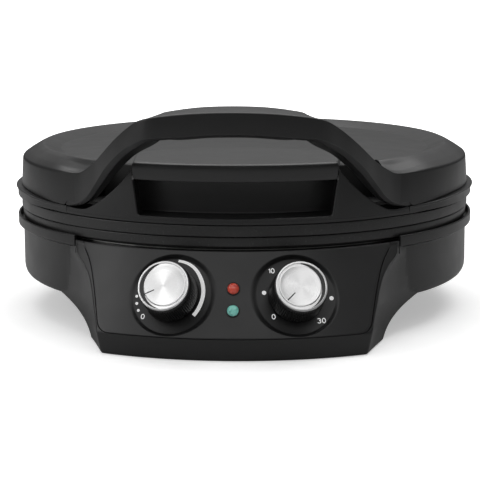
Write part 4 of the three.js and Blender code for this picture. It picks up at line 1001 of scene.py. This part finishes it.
def screw_part():
    """A low head with a cross recess, seen from below, and its shank."""
    head = COVER_UNDER - 0.3
    body = [(0, head - 1.6), (1.4, head - 1.8), (2.6, head - 1.6), (3.4, head - 1.0),
            (3.6, head - 0.4), (3.6, head), (1.6, head), (1.6, COVER_TOP), (0, COVER_TOP)]

    slot = loft([level([(-x, -y), (x, -y), (x, y), (-x, y)], z)
                 for x, y, z in ((2.0, 0.35, head - 2.6), (0.9, 0.2, head - 0.7))])
    return cut(turned(body, 32), slot, moved(slot, Matrix.Rotation(math.pi / 2, 4, "Z")))


def cover_part():
    """The underside's round cover, with its ring of slots and its screw holes."""
    slot = rounded([(63, -2), (93, -2), (93, 2), (63, 2)], [1.9] * 4, 5)
    vent = loft([level(slot, z) for z in (10, 40)])
    tools = [moved(vent, Matrix.Rotation(a, 4, "Z")) for a in circle(COVER_VENTS)]
    tools += [at_spot(turned(bar(1.9, 10, 40), 24), spot) for spot in SCREWS]
    return cut(revolve(rounded([(0, COVER_UNDER), (COVER_R, COVER_UNDER), (COVER_R, COVER_TOP),
                                (0, COVER_TOP)], [0, 1.0, 0.3, 0], 4), 160), *tools)


def leg_part():
    return turned(rounded([(0, 1.6), (12, 1.6), (16, COVER_TOP), (0, COVER_TOP)],
                          [0, 1.2, 0.3, 0], 5), 64)


def pad_part():
    return turned(rounded(bar(PAD_R, 0, PAD_THICK), [0, 0.45, 0.3, 0], 4), 64)


def gland_part():
    """The ribbed sleeve that the cord would leave by, square to the bowl's rear wall."""
    out = Vector((sin_d(GLAND_ANGLE), cos_d(GLAND_ANGLE), 0))
    across = Vector((-out.y, out.x, 0))
    m = Matrix((across, out.cross(across), out)).transposed().to_4x4()
    m.translation = out * BOWL_R + Vector((0, 0, GLAND_Z))
    outline = [(3.4, -6), (4.6, -6), (4.6, 0.3), (6.8, 0.3), (7, 0.6), (7, 2), (6.7, 2.3),
               (4.8, 2.3), (4.6, 2.8), (4.6, 3.6), (4.2, 3.8), (4.2, 4.4), (4.55, 4.6), (4.5, 5.4),
               (4.15, 5.6), (4.15, 6.1), (4.4, 6.3), (4.3, 7.1), (3.9, 7.3), (3.4, 7.3)]
    return moved(turned(outline, 48), m)


# Materials
def settings(node, **values):
    """Sets a node's inputs by name, with _ for a space, and returns the node."""
    for key, value in values.items():
        node.inputs[key.replace("_", " ")].default_value = value
    return node


def add(tree, kind, **values):
    """A new shader node of a kind, with its inputs set."""
    return settings(tree.nodes.new("ShaderNode" + kind), **values)


def node_material(name):
    """A new look with its node tree, its shader and the object's coordinates."""
    look = bpy.data.materials.new(name)
    look.use_nodes = True
    tree = look.node_tree
    tree.nodes.clear()
    out = add(tree, "OutputMaterial")
    shader = add(tree, "BsdfPrincipled")
    tree.links.new(shader.outputs[0], out.inputs[0])
    return look, tree, shader, add(tree, "TexCoord").outputs["Object"]


def noise(tree, coords, scale, detail=3.0, stretch=None):
    """Cloudy grey values, drawn out along an axis where a stretch is given."""
    if stretch:
        mapping = add(tree, "Mapping", Scale=stretch)
        tree.links.new(coords, mapping.inputs[0])
        coords = mapping.outputs[0]
    texture = add(tree, "TexNoise", Scale=scale, Detail=detail)
    tree.links.new(coords, texture.inputs["Vector"])
    return texture.outputs["Fac"]


def ramp(tree, grey, stops, target):
    """Feeds an input with the colours or greys that the stops give to grey values."""
    node = add(tree, "ValToRGB")
    while len(node.color_ramp.elements) < len(stops):
        node.color_ramp.elements.new(0.5)
    for element, (position, value) in zip(node.color_ramp.elements, stops):
        element.position = position
        element.color = (*(value if isinstance(value, (list, tuple)) else (value,) * 3), 1)
    tree.links.new(grey, node.inputs[0])
    tree.links.new(node.outputs[0], target)


def bumped(tree, shader, height, strength, distance):
    """Lets grey values raise the surface by a distance in metres."""
    bump = add(tree, "Bump", Strength=strength, Distance=distance)
    tree.links.new(height, bump.inputs["Height"])
    tree.links.new(bump.outputs[0], shader.inputs["Normal"])


def vector_math(tree, operation, *values):
    """A vector operation on sockets or fixed vectors."""
    node = add(tree, "VectorMath")
    node.operation = operation
    for socket, value in zip(node.inputs, values):
        if isinstance(value, bpy.types.NodeSocket):
            tree.links.new(value, socket)
        else:
            socket.default_value = value
    return node


def moulded(name, colour, rough, grain=1500.0, grain_depth=0.00002):
    """Satin moulded plastic: a fine spark-eroded grain, faint flow marks and uneven gloss."""
    look, tree, shader, coords = node_material(name)
    ramp(tree, noise(tree, coords, 14.0, 2.0, (1, 1, 2.5)),
         [(0.3, [c * 0.9 for c in colour]), (0.7, [c * 1.12 for c in colour])],
         shader.inputs["Base Color"])
    ramp(tree, noise(tree, coords, 55.0, 4.0), [(0.3, rough - 0.025), (0.7, rough + 0.03)],
         shader.inputs["Roughness"])
    bumped(tree, shader, noise(tree, coords, grain, 2.0), 0.35, grain_depth)
    return look


def metal(name, colour, rough, stretch=(1, 1, 1), scale=400.0, uneven=0.08):
    """Sheet or turned metal with drawn or rolled lines."""
    look, tree, shader, coords = node_material(name)
    lines = noise(tree, coords, scale, 3.0, stretch)
    ramp(tree, lines, [(0.25, [c * 0.86 for c in colour]), (0.75, colour)],
         shader.inputs["Base Color"])
    ramp(tree, lines, [(0.3, rough), (0.75, rough + uneven)], shader.inputs["Roughness"])
    bumped(tree, settings(shader, Metallic=1.0), lines, 0.2, 0.00002)
    return look


def coated(name):
    """Dark non-stick coating on a cast plate: sprayed, slightly pebbled, with paler specks."""
    look, tree, shader, coords = node_material(name)
    ramp(tree, noise(tree, coords, 900.0, 1.0), [(0.3, 0.014), (0.68, 0.02), (0.78, 0.05)],
         shader.inputs["Base Color"])
    ramp(tree, noise(tree, coords, 40.0, 3.0), [(0.3, 0.36), (0.7, 0.44)],
         shader.inputs["Roughness"])
    bumped(tree, shader, noise(tree, coords, 420.0, 3.0), 0.4, 0.00005)
    return look


def spun(name, side):
    """Spun aluminium: fine rings about the dial's axis and sheen in rays from the centre."""
    look, tree, shader, coords = node_material(name)
    m = cone_matrix(side * DIAL_ANGLE, DIAL_Z)
    right, up, axis = (m.col[k].to_3d() for k in range(3))
    centre = (m.translation * MM) + Vector((0, AXIS_Y, 0))
    away = vector_math(tree, "SUBTRACT", coords, centre).outputs[0]
    flat = add(tree, "CombineXYZ")
    for socket, along in zip(flat.inputs, (right, up)):
        tree.links.new(vector_math(tree, "DOT_PRODUCT", away, along).outputs["Value"], socket)
    rings = add(tree, "CombineXYZ")
    tree.links.new(vector_math(tree, "LENGTH", flat.outputs[0]).outputs["Value"], rings.inputs[0])
    lines = noise(tree, rings.outputs[0], 5200.0, 2.0)
    ramp(tree, lines, [(0.3, 0.86), (0.7, 0.97)], shader.inputs["Base Color"])
    ramp(tree, lines, [(0.3, 0.26), (0.7, 0.34)], shader.inputs["Roughness"])
    settings(shader, Metallic=1.0, Anisotropic=0.85)
    # the grain runs round the axis, so the tangent is the axis crossed with the way out
    cross = vector_math(tree, "CROSS_PRODUCT", axis, away)
    unit = vector_math(tree, "NORMALIZE", cross.outputs[0])
    tree.links.new(unit.outputs[0], shader.inputs["Tangent"])
    return look


def lens_look(name, colour, deep):
    """Clear coloured plastic over a ribbed inside."""
    look, tree, shader, coords = node_material(name)
    ramp(tree, noise(tree, coords, 380.0, 2.0), [(0.2, deep), (0.5, colour)],
         shader.inputs["Base Color"])
    bumped(tree, shader, noise(tree, coords, 900.0, 1.0), 0.3, 0.0001)
    settings(shader, Roughness=0.16, Coat_Weight=0.6, Coat_Roughness=0.05,
             Subsurface_Weight=0.25, Subsurface_Radius=(0.002, 0.001, 0.001))
    return look


black = moulded("black_plastic", (0.0105, 0.0105, 0.0108), 0.38)
# darker copy of the black plastic for the pocket: painted shade in the hollow under the handle
pocket_painted_shade = moulded("pocket_plastic_painted_shade", (0.004, 0.004, 0.004), 0.7)
# lighter copy of the black plastic for the nose: painted light on its top and front
nose_painted_light = moulded("nose_plastic_painted_light", (0.021, 0.021, 0.0214), 0.37)
panel_black = moulded("panel_plastic", (0.012, 0.012, 0.0123), 0.37, 1900.0, 0.000015)
knob_black = moulded("knob_plastic", (0.008, 0.008, 0.0082), 0.36)
coating = coated("plate_coating")
steel = metal("sheet_steel", (0.55, 0.55, 0.54), 0.32, (1, 6, 1))
heater_metal = metal("heater_steel", (0.17, 0.145, 0.13), 0.5, (1, 1, 1), 160.0, 0.15)
screw_metal = metal("screw_steel", (0.4, 0.4, 0.4), 0.3)
rubber = moulded("pad_rubber", (0.012, 0.012, 0.012), 0.75, 700.0, 0.00005)
pale = moulded("pale_plastic", (0.62, 0.58, 0.5), 0.45)
white_ink_and_painted_glow = moulded("white_ink_and_painted_glow", (0.88, 0.88, 0.88), 0.5, 2400.0, 0.00001)
# the white print is also made to glow a little: painted light, the ink is no lamp
settings(white_ink_and_painted_glow.node_tree.nodes["Principled BSDF"], Emission_Color=(1, 1, 1, 1),
         Emission_Strength=0.3)
# near-black strip in the cap's gap: painted shade
cap_gap_painted_shade = moulded("cap_gap_shade", (0.03, 0.03, 0.03), 0.4)
dark_ink = moulded("pointer_ink", (0.03, 0.03, 0.032), 0.4, 2400.0, 0.00001)
red = lens_look("red_lens", (0.95, 0.13, 0.08), (0.6, 0.03, 0.02))
green = lens_look("green_lens", (0.34, 0.9, 0.78), (0.08, 0.42, 0.36))
bezel_black = moulded("bezel_plastic", (0.01, 0.01, 0.01), 0.3)


# The base
piece("base_shell", [base_part()], black, "base", ["base_housing"])
piece("control_face", [panel_part()], panel_black, "base", ["control_panel"])
lower, upper = plate_parts()
piece("lower_baking_plate", [lower], coating, "base", ["lower_plate"])
piece("under_cover", [cover_part()], black, "base", ["bottom_cover"])
for i, spot in enumerate(SCREWS, 1):
    piece(f"under_screw_{i}", [at_spot(screw_part(), spot)], screw_metal, "base",
          [f"cover_screw_{i}"])
for side, word in ((-1, "left"), (1, "right")):
    piece(f"leg_{word}", [at_spot(leg_part(), REAR_LEG, side)], black, "base",
          [f"rear_leg_{word}"])
    for end, spot in (("rear", REAR_LEG), ("front", FRONT_PAD)):
        piece(f"{end}_foot_{word}", [at_spot(pad_part(), spot, side)], rubber, "base",
              [f"{end}_pad_{word}"])
bracket, arms = hinge_parts()
piece("hinge_carrier", [bracket], black, "base", ["hinge_bracket"])
piece("hinge_rod", [pin_part()], steel, "base", ["hinge_pin"])
piece("gland", [gland_part()], rubber, "base", ["cord_gland"])

# The lid
piece("upper_baking_plate", [upper], coating, "lid", ["upper_plate"])
piece("lid_ring", rim_parts(), black, "lid", ["lid_rim"])
piece("lid_shell", [shell_part(), dish_part(), handle_part()], black, "lid", ["lid_housing"])
piece("lid_pocket", pocket_parts(), pocket_painted_shade, "lid")
piece("apron", [apron_part()], black, "lid", ["front_apron"])
piece("nose", [nose_part()], nose_painted_light, "lid", ["nose_cap"])
piece("handle_cover", [handle_cover_part()], black, "lid", ["handle_underside_cover"])
for part, word in zip(arms, ("right", "left")):
    piece(f"hinge_arm_{word}", [part], black, "lid", [f"lid_hinge_arm_{word}"])

# Dials and lamps
for side, word, turn in ((-1, "temperature", 241), (1, "timer", 228)):
    m = cone_matrix(side * DIAL_ANGLE, DIAL_Z)
    body = f"{word}_dial"
    piece(f"{word}_grip", [moved(knob_part(), m)], knob_black, body, [f"{word}_knob"],
          50)
    piece(f"{word}_cap", [moved(cap_part(side), m)], spun(f"spun_aluminium_{word}", side), body,
          [f"{word}_knob_cap"])
    piece(f"{word}_pointer", [moved(pointer_part(turn), m)], dark_ink, body)
    piece(f"{word}_cap_gap", [moved(cap_gap_part(side), m)], cap_gap_painted_shade, body)
    piece(f"{word}_scale", prints(side), white_ink_and_painted_glow, "base")
for word, z, look in (("red", 46.6, red), ("green", 33.0, green)):
    m = cone_matrix(0, z)
    piece(f"{word}_lens", [moved(lens_part(), m)], look, "base", [f"{word}_lamp_lens"])
    piece(f"{word}_bezel", [moved(bezel_part(), m)], bezel_black, "base")

# Inner pieces keep their own shape and get their finish
STEEL_NODES = (
    "lower_reflector", "upper_reflector", "temperature_shaft", "timer_shaft", "temperature_nut",
    "timer_nut", "thermostat_body", "timer_body", "timer_bell")
for name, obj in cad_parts.items():
    look = None
    if name.endswith("_element"):
        look = heater_metal
    elif name.endswith("_lamp_holder") or name == "terminal_block":
        look = pale
    elif "clip" in name or name in STEEL_NODES:
        look = steel
    if look:
        for slot in obj.material_slots:
            slot.material = look

# Studio: a pale floor, a white surround for the camera, and soft light from above and the left
floor_look, tree, shader, coords = node_material("studio_floor")
camera_ray = add(tree, "LightPath").outputs["Is Camera Ray"]
# seen in the object's gloss the paper is a darker ground
tone = add(tree, "MapRange", To_Min=0.6, To_Max=1.0)
tree.links.new(camera_ray, tone.inputs["Value"])
toned = vector_math(tree, "SCALE")
tree.links.new(tone.outputs[0], toned.inputs["Scale"])
ramp(tree, noise(tree, coords, 30.0, 3.0), [(0.3, 0.86), (0.7, 0.9)], toned.inputs[0])
tree.links.new(toned.outputs[0], shader.inputs["Base Color"])
settings(shader, Roughness=0.9, Specular_IOR_Level=0.0, Emission_Color=(1, 1, 1, 1))
# for the camera the paper glows more away from the object, so it fades into the white surround; its
# weaker glow near the object is painted shade round the object's foot
fade = add(tree, "MapRange", From_Min=0.2, From_Max=0.75,
                To_Min=0.4, To_Max=1.0)
fade.interpolation_type = "SMOOTHSTEP"
tree.links.new(vector_math(tree, "LENGTH", coords).outputs["Value"], fade.inputs["Value"])
glow = add(tree, "Math")
glow.operation = "MULTIPLY"
tree.links.new(camera_ray, glow.inputs[0])
tree.links.new(fade.outputs[0], glow.inputs[1])
tree.links.new(glow.outputs[0], shader.inputs["Emission Strength"])
floor_mesh = bpy.data.meshes.new("studio_floor")
floor_mesh.from_pydata([(-12, -12, 0), (12, -12, 0), (12, 12, 0), (-12, 12, 0)], [], [(0, 1, 2, 3)])
floor_mesh.materials.append(floor_look)
linked("studio_floor", floor_mesh)

world = bpy.data.worlds.new("studio")
bpy.context.scene.world = world
world.use_nodes = True
tree = world.node_tree
tree.nodes.clear()
out = add(tree, "OutputWorld")
seen = add(tree, "Background", Color=(1, 1, 1, 1))
lit = add(tree, "Background")
split = add(tree, "SeparateXYZ")
tree.links.new(add(tree, "TexCoord").outputs["Generated"], split.inputs[0])
# the surround lights the object more from above than from the sides
rise = add(tree, "MapRange", From_Min=0.0, From_Max=0.9,
                To_Min=0.05, To_Max=0.45)
tree.links.new(split.outputs[2], rise.inputs["Value"])
tree.links.new(rise.outputs[0], lit.inputs["Strength"])
camera_ray = add(tree, "LightPath").outputs["Is Camera Ray"]
blend = add(tree, "MixShader")
for socket, source in zip(blend.inputs, (camera_ray, lit.outputs[0], seen.outputs[0])):
    tree.links.new(source, socket)
tree.links.new(blend.outputs[0], out.inputs[0])


def facing(name, data, place, aim, roll=0.0):
    """Puts a light or camera at a place, turned towards a point."""
    obj = linked(name, data)
    obj.location = place
    obj.rotation_mode = "QUATERNION"
    look_at = (Vector(aim) - Vector(place)).to_track_quat("-Z", "Y")
    obj.rotation_quaternion = look_at @ Matrix.Rotation(math.radians(roll), 4, "Z").to_quaternion()
    return obj


for name, place, aim, size, power in (
        ("top", (0.1, 0.5, 1.6), (0, 0.05, 0.1), (2.2, 1.6), 27),
        ("left", (-1.5, -0.55, 0.75), (0, 0, 0.08), (0.9, 1.1), 6),
        ("back", (0.2, 1.9, 0.9), (0, 0.1, 0.12), (3.0, 0.9), 2),
        ("front", (-0.15, -1.2, 1.45), (0, -0.1, 0.08), (2.1, 0.9), 5.5)):
    light = bpy.data.lights.new(name, "AREA")
    light.shape = "RECTANGLE"
    light.size, light.size_y = size
    light.energy = power
    facing(name, light, place, aim)

# Camera, as solved from the photograph
lens = bpy.data.cameras.new("camera")
lens.lens = 134.47
lens.sensor_width = 36.0
bpy.context.scene.camera = facing("camera", lens, (0.0576, AXIS_Y - 1.3810, 0.2961),
                                  (-0.0036, AXIS_Y, 0.0465), -0.3)
bpy.context.scene.view_settings.view_transform = "Standard"
